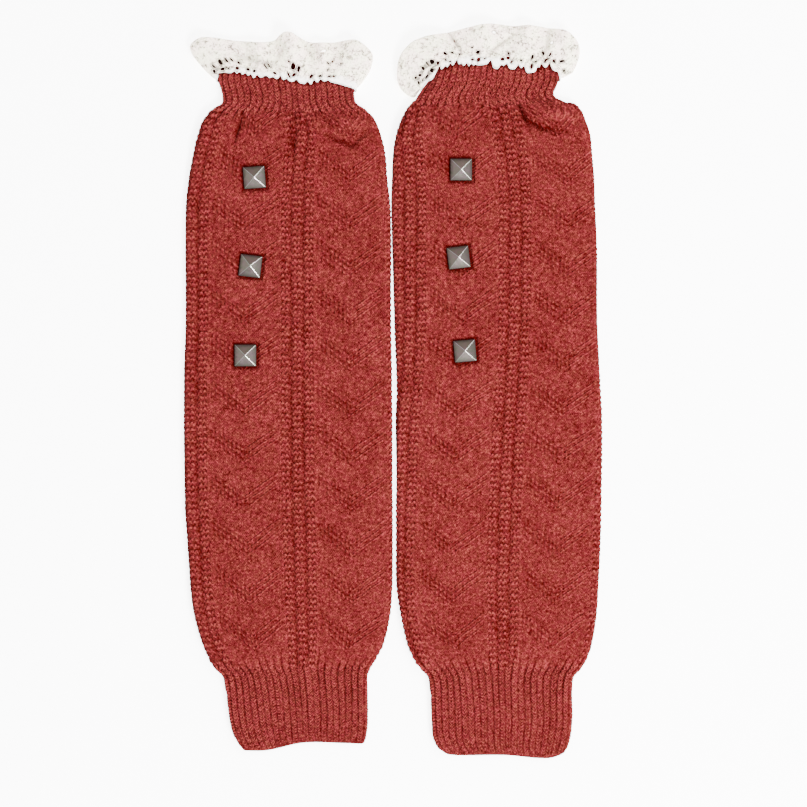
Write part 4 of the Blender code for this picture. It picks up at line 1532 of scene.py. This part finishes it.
@dataclass
class RibbedEnd:
    """A ribbed tube between two edge lines."""

    plan: LegPlan
    finish: YarnFinish
    relief: bpy.types.NodeTree
    groove: float = 0.1
    drift: float = 0.007
    roughness: float = 0.1
    seed: int = 5
    rows_per_course: int = 4
    groove_shade: float = 0.5

    name = "rib"
    courses = 20
    rounded_hem = False

    @property
    def sections(self) -> Sequence[Section]:
        """The sections that the tube runs through."""
        raise NotImplementedError

    def edges(self, across: Array) -> tuple[Array, Array]:
        """How far up the leg the lower and the upper edge lie at places across it."""
        raise NotImplementedError

    def rise(self, across: Array, up: Array) -> Array:
        """How far the tube's underside is off the surface."""
        return np.zeros(np.broadcast(across, up).shape)

    def drop(self, across: Array, up: Array) -> Array:
        """How far the tube's front sinks."""
        return np.zeros(np.broadcast(across, up).shape)

    def strength(self, part: Array) -> Array:
        """How strongly the ribs stand out, by the part of the way up."""
        return np.ones(part.shape)

    def hollow(self, across: Array, up: Array) -> Array:
        """How much painted shade the cloth gets where something covers it."""
        return np.zeros(np.broadcast(across, up).shape)

    def build(self) -> bpy.types.Object:
        """Build and dress the ribbed end.

        Returns:
            The finished piece.
        """
        draft = Draft(self.plan.middle)
        front = np.linspace(0.0, 1.0, RIBS_ACROSS * 8 + 1)[:-1]
        back = np.linspace(1.0, 2.0, RIBS_ACROSS * 4 + 1)[:-1]
        places = np.concatenate([front, back])
        outer = self._outer(draft, places)
        self._inside(draft, places, outer)
        piece = draft.build(f"{self.plan.side.value}_{self.name}_ribs")
        return modified(piece, self.relief, Stitch_Depth=STITCH_DEPTH, Material=self.finish.material())

    def tube(self, place: Array, part: Array, inset: Array | float) -> tuple[Array, ...]:
        """Points of the tube.

        Args:
            place: Place round it, from 0 to 1 over the front and on to 2 underneath.
            part: Part of the way from the lower edge to the upper one.
            inset: How far inside the outer surface.

        Returns:
            Across, up, height and the outward direction's upward part.
        """
        across_part = across_of(place)
        low_edge, high_edge = self.edges(across_part)
        up = low_edge + (high_edge - low_edge) * part
        left, right, _, high = tube_sizes(self.sections, up)
        low = self.rise(across_part, up) + inset
        high = high - self.drop(across_part, up)
        inset = np.minimum(inset, (high - low + inset) / 2 - 0.2)
        low = self.rise(across_part, up) + inset
        left, right, high = left + inset, right - inset, high - inset
        half = half_girth(left, right, low, high)
        across, level, _, out_up = flat_tube(left, right, low, high, place * half)
        return across, up, level, out_up

    def _outer(self, draft: Draft, places: Array) -> Array:
        """Add the ribbed outer surface.

        Args:
            draft: The mesh to add it to.
            places: The place round the tube of each column of points.

        Returns:
            The surface's point numbers.
        """
        parts = np.linspace(0.0, 1.0, self.courses * self.rows_per_course + 1)
        place, part = np.meshgrid(places, parts)
        ends = ease(8 * part) * ease(8 * (1 - part))
        shift = self.drift * waver(place * 14.0, part * 4.0, 0.4) * ends
        rough = self.roughness * np.random.default_rng(self.seed).normal(size=place.shape)
        across, up, level, out_up = self.tube((place + shift) % 2.0, part, 0.0)
        rib = place * RIBS_ACROSS
        course = part * self.courses
        uneven = 0.25 * mottle(rib * 1.3, course / 1.7, 9) * ends
        drawn = course + uneven + mottle(rib, np.zeros(rib.shape), 2)
        strength = self.strength(part)
        worn = 1 - 0.4 * ease(0.4 + 0.9 * mottle(rib / 1.4, course / 3.1, 12)) * ends
        wave = rib_wave(place, self.groove)
        # Painted shade under the lace and in the rib grooves
        covered = self.hollow(across, up) * ease(out_up)
        layers = {
            "wale": rib,
            "course": drawn,
            "lift": wave * strength * worn + rough * ends,
            "hollow": covered + self.groove_shade * strength * worn * rib_shade(wave),
            "facing": ease(out_up + 0.35),
            "stitch_share": (0.55 + 0.25 * strength) * (0.5 + 0.5 * ease(1.6 * out_up)),
        }
        ids = draft.grid(across, up, level, **layers)
        ring = np.concatenate([ids, ids[:, :1]], 1)
        closed = np.append(places, 2.0) * RIBS_ACROSS
        drawn = np.concatenate([drawn, drawn[:, :1]], 1)
        draft.fill(ring, closed, drawn, (closed[:-1] % 1.0 < 0.5)[None, :])
        return ids

    def _inside(self, draft: Draft, places: Array, outer: Array) -> None:
        """Turn both edges over to a plain inside.

        Args:
            draft: The mesh to add it to.
            places: The place round the tube of each column of points.
            outer: The outer surface's point numbers.
        """
        turns = np.radians((30.0, 60.0, 90.0, 120.0, 150.0))
        bulge = KNIT_WALL / 2 / (self.courses * COURSE)
        rows = [(-bulge * math.sin(turn), KNIT_WALL / 2 * (1 - math.cos(turn))) for turn in turns]
        rows = rows if self.rounded_hem else []
        rows += [(part, KNIT_WALL) for part in (0.0, 0.25, 0.5, 0.75, 1.0)]
        grid = [outer[0]]
        for part, inset in rows:
            across, up, level, _ = self.tube(places, np.full(places.shape, part), inset)
            grid.append(draft.grid(across, up, level, facing=1.0))
        grid = np.stack([*grid, outer[-1]])
        ring = np.concatenate([grid, grid[:, :1]], 1)
        course = np.linspace(-3.5, -0.5, len(ring))[:, None]
        draft.fill(ring, np.append(places, 2.0) * RIBS_ACROSS, course, flip=True)


@dataclass
class AnkleRib(RibbedEnd):
    """The ribbed ankle, from its hem up to the body."""

    name = "ankle"
    courses = 28
    rounded_hem = True
    groove_shade: float = 0.42
    fade: float = 3.0

    @property
    def sections(self) -> Sequence[Section]:
        """The sections of the ankle."""
        return self.plan.ankle

    def edges(self, across: Array) -> tuple[Array, Array]:
        """The hem's line and the body's lower end."""
        hem = along_table(self.plan.hem, "across", "up", across)
        return hem, np.full(hem.shape, self.plan.ankle[0].up - SEAM_CLEARANCE)

    def strength(self, part: Array) -> Array:
        """The ribs fade just above the hem."""
        above_hem = ease(part * self.courses * COURSE / self.fade)
        return (0.15 + 0.85 * above_hem) * (0.75 + 0.45 * ease(part * 1.6 - 0.4))


@dataclass
class KneeRib(RibbedEnd):
    """The ribbed opening at the knee, up to its edge under the lace, where it flattens."""

    name = "knee"
    courses = 17
    run_on: float = 8.0
    flattened: float = 2.2
    # Painted shade on the rib under the lace, and an even lightening of the whole rib
    covered: float = 1.2
    even_lightening: float = 0.1

    @property
    def sections(self) -> Sequence[Section]:
        """The sections of the knee opening."""
        return self.plan.knee

    def edges(self, across: Array) -> tuple[Array, Array]:
        """The body's upper end, and the rib's edge, which the lace laps over."""
        run_on = self.run_on * ease(np.minimum(across, 1 - across) / 0.12)
        edge = seam_up(self.plan, across) + lap_up(across) + run_on
        return np.full(edge.shape, self.plan.knee[0].up + SEAM_CLEARANCE), edge

    def rise(self, across: Array, up: Array) -> Array:
        """The underside rises to let the lace pass below it."""
        return seam_rise(self.plan, across, up)

    def drop(self, across: Array, up: Array) -> Array:
        """The front sinks below the lace."""
        return self.flattened * ease((up - seam_up(self.plan, across) - 1.5) / 6.0)

    def hollow(self, across: Array, up: Array) -> Array:
        """Painted shade on the part below the lace, less an even lightening of the whole rib."""
        border = along_table(self.plan.border, "across", "up", across)
        return self.covered * ease((up - border + 1.1) / 2.0) - self.even_lightening


@dataclass
class LaceRuffle:
    """The gathered lace round the knee opening, with eyelets and a scalloped border along its seam."""

    plan: LegPlan
    finish: LaceFinish
    wall: bpy.types.NodeTree
    half_ring: float = 92.0
    width: float = 24.0
    thickness: float = 0.45
    cord_radius: float = 0.22
    cell: float = 0.85
    scallops: int = 24
    scallop_depth: float = 1.2
    eyelet_share: float = 1.65
    fold_shade: float = 0.7
    inner_shade: float = 2.0
    roll_radius: float = 0.9
    roll_back: float = 2.4
    pleat: float = 0.35
    hole_sides: int = 10
    back_pitch: float = 13.0
    inner_from: float = 26.0
    inner_run: float = 5.0
    step: float = 0.4

    def build(self) -> bpy.types.Object:
        """Build and dress the ruffle.

        Returns:
            The finished piece.
        """
        flat, triangles = self._cut()
        draft = Draft(self.plan.middle)
        across, up, level = self.surface(flat[:, 0] / self.half_ring, flat[:, 1])
        folded = crease_depth(self.plan.lace_folds, across, up) * (flat[:, 0] < self.half_ring)
        # Painted shade deep inside the ruffle, near its seam, and in the lace's folds
        depth = self.inner_shade * ease((self.inner_from - flat[:, 1]) / self.inner_run)
        starts = np.flatnonzero(np.isclose(flat[:, 0], 0.0))
        ends = np.flatnonzero(np.isclose(flat[:, 0], 2 * self.half_ring))
        own = np.setdiff1d(np.arange(len(flat)), ends)
        shades = {"hollow": self.fold_shade * folded[own], "inner_hollow": depth[own]}
        ids = np.zeros(len(flat), int)
        ids[own] = draft.grid(across[own], up[own], level[own], **shades)
        ids[ends[np.argsort(flat[ends, 1])]] = ids[starts[np.argsort(flat[starts, 1])]]
        draft.add_triangles(ids[triangles], flat[triangles])
        piece = draft.build(f"{self.plan.side.value}_lace_ruffle_cloth")
        sizes = {"Thickness": self.thickness * MM, "Cord_Radius": self.cord_radius * MM, "Cord_Sides": 5}
        return modified(piece, self.wall, Material=self.finish.material(), **sizes)

    def surface(self, place: Array, above: Array) -> tuple[Array, Array, Array]:
        """Points of the ruffle's outside.

        Args:
            place: Place round the ring, from 0 to 1 over the front and on to 2 underneath.
            above: Distance up the lace from its seam, in mm of cloth.

        Returns:
            Across, up and height.
        """
        inner = np.minimum(above, self.width)
        point = self._sheet(place, inner)
        past = np.maximum(above - self.width, 0.0)
        if not past.any():
            return point[0], point[1], point[2]
        outward = point - self._sheet(place, inner - self.step)
        outward = outward / np.linalg.norm(outward, axis=0)
        around = self._sheet(place + 0.002, inner) - self._sheet(place - 0.002, inner)
        normal = np.cross(around, outward, axis=0)
        normal = normal / np.linalg.norm(normal, axis=0)
        turn = np.minimum(past / self.roll_radius, math.pi)
        back = np.maximum(past - math.pi * self.roll_radius, 0.0)
        point = point + outward * (self.roll_radius * np.sin(turn) - back)
        point = point - normal * self.roll_radius * (1 - np.cos(turn))
        return point[0], point[1], np.maximum(point[2], self.thickness)

    def _sheet(self, place: Array, above: Array) -> Array:
        """Lay the ruffle out without its rolled edge.

        Args:
            place: Place round the ring, from 0 to 2.
            above: Distance up the lace from its seam, in mm of cloth.

        Returns:
            Across, up and height.
        """
        place = place % 2.0
        across_part = across_of(place)
        lap = lap_up(across_part)
        seam = seam_up(self.plan, across_part)
        base = self._on_rib(place, seam + np.minimum(above, lap))
        part = np.clip((above - lap) / (self.width - lap), 0.0, 1.0)
        edge = self._free_edge(place)
        parts = np.stack([part**SPREAD_ACROSS_POWER, part, part**SPREAD_HEIGHT_POWER])
        point = base + (edge - base) * parts
        front = ease(np.minimum(place, 1.0 - place) * 14) * (place < 1.0)
        gathers = waver(place * 2 * math.pi * 17.0, above * 0.1, 0.7)
        point[2] += self.pleat * gathers * front * (1 - part) * ease(above / 3.0)
        soft = waver(point[0] * 0.35, point[1] * 0.3, 2.2) * ease(part * 3) * front
        point[2] += 0.45 * soft
        point[2] -= crease_depth(self.plan.lace_folds, point[0], point[1]) * front
        point[2] = np.maximum(point[2], self.thickness)
        return point

    def _on_rib(self, place: Array, up: Array) -> Array:
        """Lay the lace's seam round the knee rib.

        Args:
            place: Place round the ring, from 0 to 2.
            up: How far up the leg.

        Returns:
            Across, up and height.
        """
        left, right, _, high = tube_sizes(self.plan.knee, up)
        low = seam_rise(self.plan, across_of(place), up)
        half = half_girth(left, right, low, high)
        across, level, out_across, out_up = flat_tube(left, right, low, high, place * half)
        return np.stack([across + out_across * LACE_STAND_OFF, up, level + out_up * LACE_STAND_OFF])

    def _free_edge(self, place: Array) -> Array:
        """Follow the ruffle's free edge, which runs on over both ends of its table.

        Args:
            place: Place round the ring, from 0 to 2.

        Returns:
            Across, up and height.
        """
        rows = list(self.plan.ruffle)
        before = [replace(row, around=row.around - 2) for row in rows[-3:]]
        after = [replace(row, around=row.around + 2) for row in rows[:3]]
        rows = before + rows + after
        return np.stack([along_table(rows, "around", value, place) for value in ("across", "up", "height")])

    def _cut(self) -> tuple[Array, Array]:
        """Cut the flat cloth, with its scallops and eyelets.

        Returns:
            Points as (along the ring, above the seam) in mm, and triangles.
        """
        length = 2 * self.half_ring
        top = self.width + math.pi * self.roll_radius + self.roll_back
        bottom_at = np.linspace(0.0, length, self.scallops * 2 * 16 + 1)
        top_at = np.linspace(length, 0.0, int(length / self.cell) + 1)
        side = np.linspace(0.0, top, int(top / self.cell) + 1)[1:-1]
        outline = [*zip(bottom_at, self._scallop(bottom_at))]
        outline += [(length, rise) for rise in side] + [(at, top) for at in top_at]
        outline += [(0.0, rise) for rise in side[::-1]]
        loops = [np.array(outline)]
        holes = self._holes()
        angles = np.linspace(0.0, 2 * math.pi, self.hole_sides, endpoint=False)
        for hole in holes:
            loops.append(hole[:2] + turned(hole[2] * np.cos(angles), hole[3] * np.sin(angles), hole[4]))
        points = np.concatenate([*loops, self._filling(length, top, holes)])
        edges, start = [], 0
        for loop in loops:
            edges += [(start + i, start + (i + 1) % len(loop)) for i in range(len(loop))]
            start += len(loop)
        made = delaunay_2d_cdt([Vector(point) for point in points], edges, [], 1, 1e-6, False)
        flat = np.array([tuple(point) for point in made[0]])
        triangles = np.array([face for face in made[2] if len(face) == 3])
        centres = flat[triangles].mean(1)
        clear = centres[:, 1] > self._scallop(centres[:, 0]) - 0.02
        triangles = triangles[clear & (inside_holes(centres, holes, 0.0) == 0)]
        a, b, c = (flat[triangles[:, i]] for i in range(3))
        clockwise = np.cross(b - a, c - a) < 0
        triangles[clockwise] = triangles[clockwise][:, ::-1]
        used, places = np.unique(triangles, return_inverse=True)
        return flat[used], places.reshape(triangles.shape)

    def _scallop(self, along: Array) -> Array:
        """Shape the lower border: round teeth between notches in front, and even ones behind.

        Args:
            along: Distances round the ring, in mm.

        Returns:
            How far above the seam it lies.
        """
        place = along / self.half_ring
        across = self._sheet(place, np.zeros(place.shape))[0]
        low = along_table(self.plan.border, "across", "up", across)
        edge = low
        for notch in self.plan.notches:
            gap = np.exp(-np.abs((across - notch.across) / notch.width) ** 2.6)
            edge = np.maximum(edge, low + (notch.up - low) * gap)
        seen = edge + self.cord_radius - seam_up(self.plan, across_of(place))
        hidden = -self.scallop_depth * np.abs(np.sin(math.pi * along * self.scallops / self.half_ring)) ** 0.8
        front = ease(np.minimum(place, 1.0 - place) * 25)
        ends = ease(np.minimum(along, 2 * self.half_ring - along) / 3.0)
        return (front * seen + (1 - front) * hidden) * ends

    def _filling(self, length: float, top: float, holes: Array) -> Array:
        """Fill the cloth with points, clear of its outline and of the eyelets.

        Args:
            length: The cloth's length round the ring.
            top: How far above the seam it ends.
            holes: The eyelets.

        Returns:
            The points along and above.
        """
        rows = []
        for number, rise in enumerate(np.arange(-1.5, top, self.cell * 0.87)):
            shift = self.cell / 2 * (number % 2)
            at = np.arange(self.cell * 0.8 + shift, length - self.cell * 0.6, self.cell)
            rows.append(np.stack([at, np.full(at.shape, rise)], 1))
        points = np.concatenate(rows)
        clear = (points[:, 1] > self._scallop(points[:, 0]) + 0.4) & (points[:, 1] < top - self.cell / 2)
        points = points[clear]
        return points[inside_holes(points, holes, 0.32) == 0]

    def _holes(self) -> Array:
        """Place the eyelets: the front's from its table, and fans of them behind.

        Returns:
            A row for each, of its place along, above, half length, half width and turn.
        """
        steps = np.linspace(0.0, self.half_ring, 500), np.linspace(-2.0, self.width, 140)
        along, above = np.meshgrid(*steps)
        across, up, _ = self._sheet(along / self.half_ring, above)
        holes = []
        for eyelet in self.plan.eyelets:
            far = np.hypot(across - eyelet.across, up - eyelet.up)
            nearest = np.unravel_index(np.argmin(far), far.shape)
            holes.append(self._cut_shape(eyelet, along[nearest], above[nearest]))
        for fan in np.arange(self.half_ring + 8.0, 2 * self.half_ring - 6.0, self.back_pitch):
            for spoke in (-2, -1, 0, 1, 2):
                rise, turn = 6.5 - 0.5 * spoke * spoke, math.pi / 2 - 0.3 * spoke
                holes.append((fan + 1.9 * spoke, rise, 0.9, 0.45, turn))
        return apart(np.array(holes), 0.2)

    def _cut_shape(self, eyelet: Eyelet, along: float, above: float) -> tuple[float, ...]:
        """One eyelet of the flat cloth, shaped so that it looks as stated where the cloth lies.

        Args:
            eyelet: The eyelet as it lies.
            along: Its place along the cloth.
            above: Its place above the seam.

        Returns:
            Its place along, above, half length, half width and turn in the cloth.
        """
        steps = np.array([(0.4, 0.0), (-0.4, 0.0), (0.0, 0.4), (0.0, -0.4)])
        lying = self._sheet((along + steps[:, 0]) / self.half_ring, above + steps[:, 1])[:2]
        stretch = np.stack([lying[:, 0] - lying[:, 1], lying[:, 2] - lying[:, 3]], 1) / 0.8
        half = self.eyelet_share * np.array([eyelet.length, eyelet.width]) / 2 + self.cord_radius
        axes = turned(np.array([half[0], 0.0]), np.array([0.0, half[1]]), math.radians(eyelet.turn)).T
        directions, sizes, _ = np.linalg.svd(np.linalg.solve(stretch, axes))
        long, short = np.clip(sizes, 0.4, 2.4)
        turn = math.atan2(directions[1, 0], directions[0, 0])
        lowest = float(self._scallop(np.array([along]))[0]) + long * abs(math.sin(turn)) + 0.6
        return along, max(above, lowest), long, short, turn


def apart(holes: Array, gap: float) -> Array:
    """Keep the holes that are clear of each one kept before them, made smaller where that helps.

    Args:
        holes: The holes' rows.
        gap: The least cloth between two.

    Returns:
        The rows kept.
    """
    kept: list[Array] = []
    for hole in holes:
        for share in (1.0, 0.85, 0.7):
            smaller = np.array([*hole[:2], hole[2] * share, hole[3] * share, hole[4]])
            if all(cloth_between(smaller, other) > gap for other in kept):
                kept.append(smaller)
                break
    return np.array(kept)


def cloth_between(first: Array, second: Array) -> float:
    """Measure the cloth left between two oval holes, on the line through their middles.

    Args:
        first: One hole's row.
        second: The other's.

    Returns:
        Its width in mm, below zero where they overlap.
    """
    step = second[:2] - first[:2]
    bearing = math.atan2(step[1], step[0])
    reach = 0.0
    for _, _, long, short, turn in (first, second):
        off = bearing - turn
        reach += long * short / math.hypot(short * math.cos(off), long * math.sin(off))
    return math.hypot(*step) - reach


def inside_holes(points: Array, holes: Array, margin: float) -> Array:
    """Count the holes that each point is inside of.

    Args:
        points: Points along and above.
        holes: The holes' rows.
        margin: How far each hole is grown.

    Returns:
        Each point's count.
    """
    count = np.zeros(len(points), int)
    for x, y, long, short, angle in holes:
        local = turned(points[:, 0] - x, points[:, 1] - y, -angle)
        count += (local[:, 0] / (long + margin)) ** 2 + (local[:, 1] / (short + margin)) ** 2 < 1
    return count


@dataclass
class PyramidStud:
    """A square pyramid stud with softened edges, seated on the knit."""

    plan: LegPlan
    number: int
    finish: PewterFinish
    edge_round: float = 0.35
    sink: float = 0.3

    def build(self) -> bpy.types.Object:
        """Build and dress the stud.

        Returns:
            The finished piece.
        """
        place = self.plan.studs[self.number]
        bm = bmesh.new()
        bmesh.ops.create_cube(bm, size=1.0)
        bmesh.ops.scale(bm, vec=(STUD_SIDE, STUD_SIDE, STUD_EDGE), verts=bm.verts)
        bmesh.ops.translate(bm, vec=(0.0, 0.0, STUD_EDGE / 2), verts=bm.verts)
        bm.normal_update()
        top = [face for face in bm.faces if face.normal.z > 0.5]
        bmesh.ops.poke(bm, faces=top, offset=STUD_HEIGHT - STUD_EDGE, center_mode="MEAN")
        edges = [edge for edge in bm.edges if max(vert.co.z for vert in edge.verts) > STUD_EDGE / 2]
        rounding = {"offset": self.edge_round, "segments": 3, "profile": 0.6, "clamp_overlap": True}
        bmesh.ops.bevel(bm, geom=edges, affect="EDGES", **rounding)
        square = bm.loops.layers.uv.new("stitch")
        for face in bm.faces:
            face.smooth = True
            for loop in face.loops:
                loop[square].uv = (2 * loop.vert.co.x / STUD_SIDE, 2 * loop.vert.co.y / STUD_SIDE)
        bmesh.ops.transform(bm, matrix=self._seat(place), verts=bm.verts)
        bmesh.ops.triangulate(bm, faces=bm.faces)
        mesh = bpy.data.meshes.new(f"{self.plan.side.value}_stud_{self.number + 1}_pyramid")
        bm.to_mesh(mesh)
        bm.free()
        mesh.set_sharp_from_angle(angle=math.radians(50))
        mesh.materials.append(self.finish.material())
        return placed(mesh.name, mesh)

    def _seat(self, place: StudPlace) -> Matrix:
        """Seat the stud on the knit.

        Args:
            place: Where it sits.

        Returns:
            The matrix from its own mm to the frame's metres.
        """
        reach = STUD_SIDE / 2
        steps = np.array([place.up - reach, place.up, place.up + reach])
        below, under, above = along_table(self.plan.body, "up", "top", steps)
        height = max(under, (above + below) / 2) + STUD_GAP - self.sink
        tilt = Matrix.Rotation(math.atan((above - below) / STUD_SIDE), 4, "X")
        turn = Matrix.Rotation(math.radians(place.turn), 4, "Z")
        move = Matrix.Translation((self.plan.middle + place.across, place.up, height))
        return Matrix.Scale(MM, 4) @ move @ turn @ tilt


@dataclass
class LegWarmer:
    """One leg warmer of the pair: its knitted pieces, its lace and its studs."""

    plan: LegPlan
    finishes: dict[Finish, YarnFinish | LaceFinish | PewterFinish]
    reliefs: dict[Finish, bpy.types.NodeTree]
    lace_wall: bpy.types.NodeTree

    def build(self) -> None:
        """Build every piece, attach it to the root and hide the model's part that it stands for."""
        side = self.plan.side.value
        slots = (Finish.KNIT, Finish.RIB)
        knit, rib = ((self.plan, self.finishes[slot], self.reliefs[slot]) for slot in slots)
        body, ankle, knee = KnittedBody(*knit).build(), AnkleRib(*rib).build(), KneeRib(*rib).build()
        lace = LaceRuffle(self.plan, self.finishes[Finish.LACE], self.lace_wall).build()
        state(body, f"{side}_body")
        state(ankle, f"{side}_ankle_rib")
        state(knee, f"{side}_knee_rib")
        state(lace, f"{side}_lace_ruffle")
        for number in range(len(self.plan.studs)):
            stud = PyramidStud(self.plan, number, self.finishes[Finish.STUD]).build()
            state(stud, f"{side}_stud_{number + 1}")


def state(piece: bpy.types.Object, node: str) -> None:
    """Attach a finished piece to the root and hide the model's part that it stands for.

    Args:
        piece: The piece.
        node: The node that it replaces.
    """
    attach(piece, "root")
    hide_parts(node)
    LOG.info("%s: %d triangles", piece.name, len(piece.data.polygons))


@dataclass(frozen=True)
class Lamp:
    """A soft square lamp that looks at the middle of the pair."""

    name: str
    place: tuple[float, float, float]
    size: float
    power: float


@dataclass
class Studio:
    """The pale floor, the soft light and the camera straight above."""

    paper: PaperFinish
    camera_place: tuple[float, float, float] = (0.00605, -0.0074, 1.2392)
    lens: float = 100.0
    floor_size: float = 4.0
    floor_level: float = -0.0001
    sky: float = 1.32
    lamps: Sequence[Lamp] = (
        Lamp("key_lamp", (0.62, -0.78, 1.4), 0.5, 114.0),
        Lamp("fill_lamp", (0.8, 0.6, 1.4), 0.8, 50.0),
        Lamp("foot_lamp", (0.2, -1.5, 0.75), 0.9, 7.0),
        Lamp("side_lamp", (1.5, -0.2, 0.75), 0.9, 7.0),
    )

    def build(self) -> None:
        """Build the studio round the pair."""
        floor = self._floor()
        self._world()
        for lamp in self.lamps:
            self._lamp(lamp)
        self._camera()
        LOG.info("studio: floor, %d lamps and camera", len(self.lamps))

    def _floor(self) -> bpy.types.Object:
        """Lay the floor, just under the pair.

        Returns:
            The floor.
        """
        half, level = self.floor_size / 2, self.floor_level
        corners = [(-half, -half, level), (half, -half, level), (half, half, level), (-half, half, level)]
        mesh = bpy.data.meshes.new("paper_floor")
        mesh.from_pydata(corners, [], [(0, 1, 2, 3)])
        mesh.materials.append(self.paper.material())
        return placed(mesh.name, mesh)

    def _world(self) -> None:
        """An even white sky."""
        world = bpy.data.worlds.new("white_sky")
        world.use_nodes = True
        sky = world.node_tree.nodes["Background"]
        sky.inputs["Color"].default_value = (1.0, 1.0, 1.0, 1.0)
        sky.inputs["Strength"].default_value = self.sky
        bpy.context.scene.world = world

    def _lamp(self, lamp: Lamp) -> None:
        """Add one lamp.

        Args:
            lamp: The lamp.
        """
        light = bpy.data.lights.new(lamp.name, "AREA")
        light.shape = "SQUARE"
        light.size = lamp.size
        light.energy = lamp.power
        holder = placed(lamp.name, light)
        holder.location = lamp.place
        holder.rotation_mode = "QUATERNION"
        holder.rotation_quaternion = (-Vector(lamp.place)).to_track_quat("-Z", "Y")

    def _camera(self) -> None:
        """Put the camera straight above the pair."""
        data = bpy.data.cameras.new("camera")
        data.lens = self.lens
        camera = placed("camera", data)
        camera.location = self.camera_place
        bpy.context.scene.camera = camera


BODY_YARN = YarnFinish(
    name="rust_wool_knit",
    chart=BODY_CHART,
    body=(0.068, 0.0089, 0.0083),
    light=(0.173, 0.0267, 0.0246),
    dark=(0.032, 0.001, 0.0008),
)
RIB_YARN = replace(BODY_YARN, name="rust_wool_rib", chart=RIB_CHART, lift_shading=0.25)
LACE = LaceFinish(
    name="ivory_cotton_lace",
    thread=(0.95, 0.92, 0.87),
    net=(0.95, 0.85, 0.72),
    shadow=(0.14, 0.118, 0.096),
)
PEWTER = PewterFinish(
    name="antique_pewter",
    metal=(0.108, 0.094, 0.086),
    worn=(0.42, 0.4, 0.37),
    patina_and_shade=(0.04, 0.034, 0.03),
    painted_reflection=(0.12, 0.09, 0.075),
    left_face_highlight=(0.172, 0.142, 0.124),
)
PAPER = PaperFinish(name="pale_paper", colour=(0.93, 0.93, 0.93), glow=6.0)


def main() -> None:
    """Build both leg warmers and their studio."""
    logging.basicConfig(level=logging.INFO, format="%(name)s %(message)s")
    reliefs = {
        Finish.KNIT: stitch_relief_form("knit relief", BODY_CHART),
        Finish.RIB: stitch_relief_form("rib relief", RIB_CHART),
    }
    lace_wall = lace_wall_form()
    finishes = {Finish.KNIT: BODY_YARN, Finish.RIB: RIB_YARN, Finish.LACE: LACE, Finish.STUD: PEWTER}
    for plan in (LEFT_LEG, RIGHT_LEG):
        LegWarmer(plan, finishes, reliefs, lace_wall).build()
    Studio(PAPER).build()


if __name__ == "__main__":
    main()
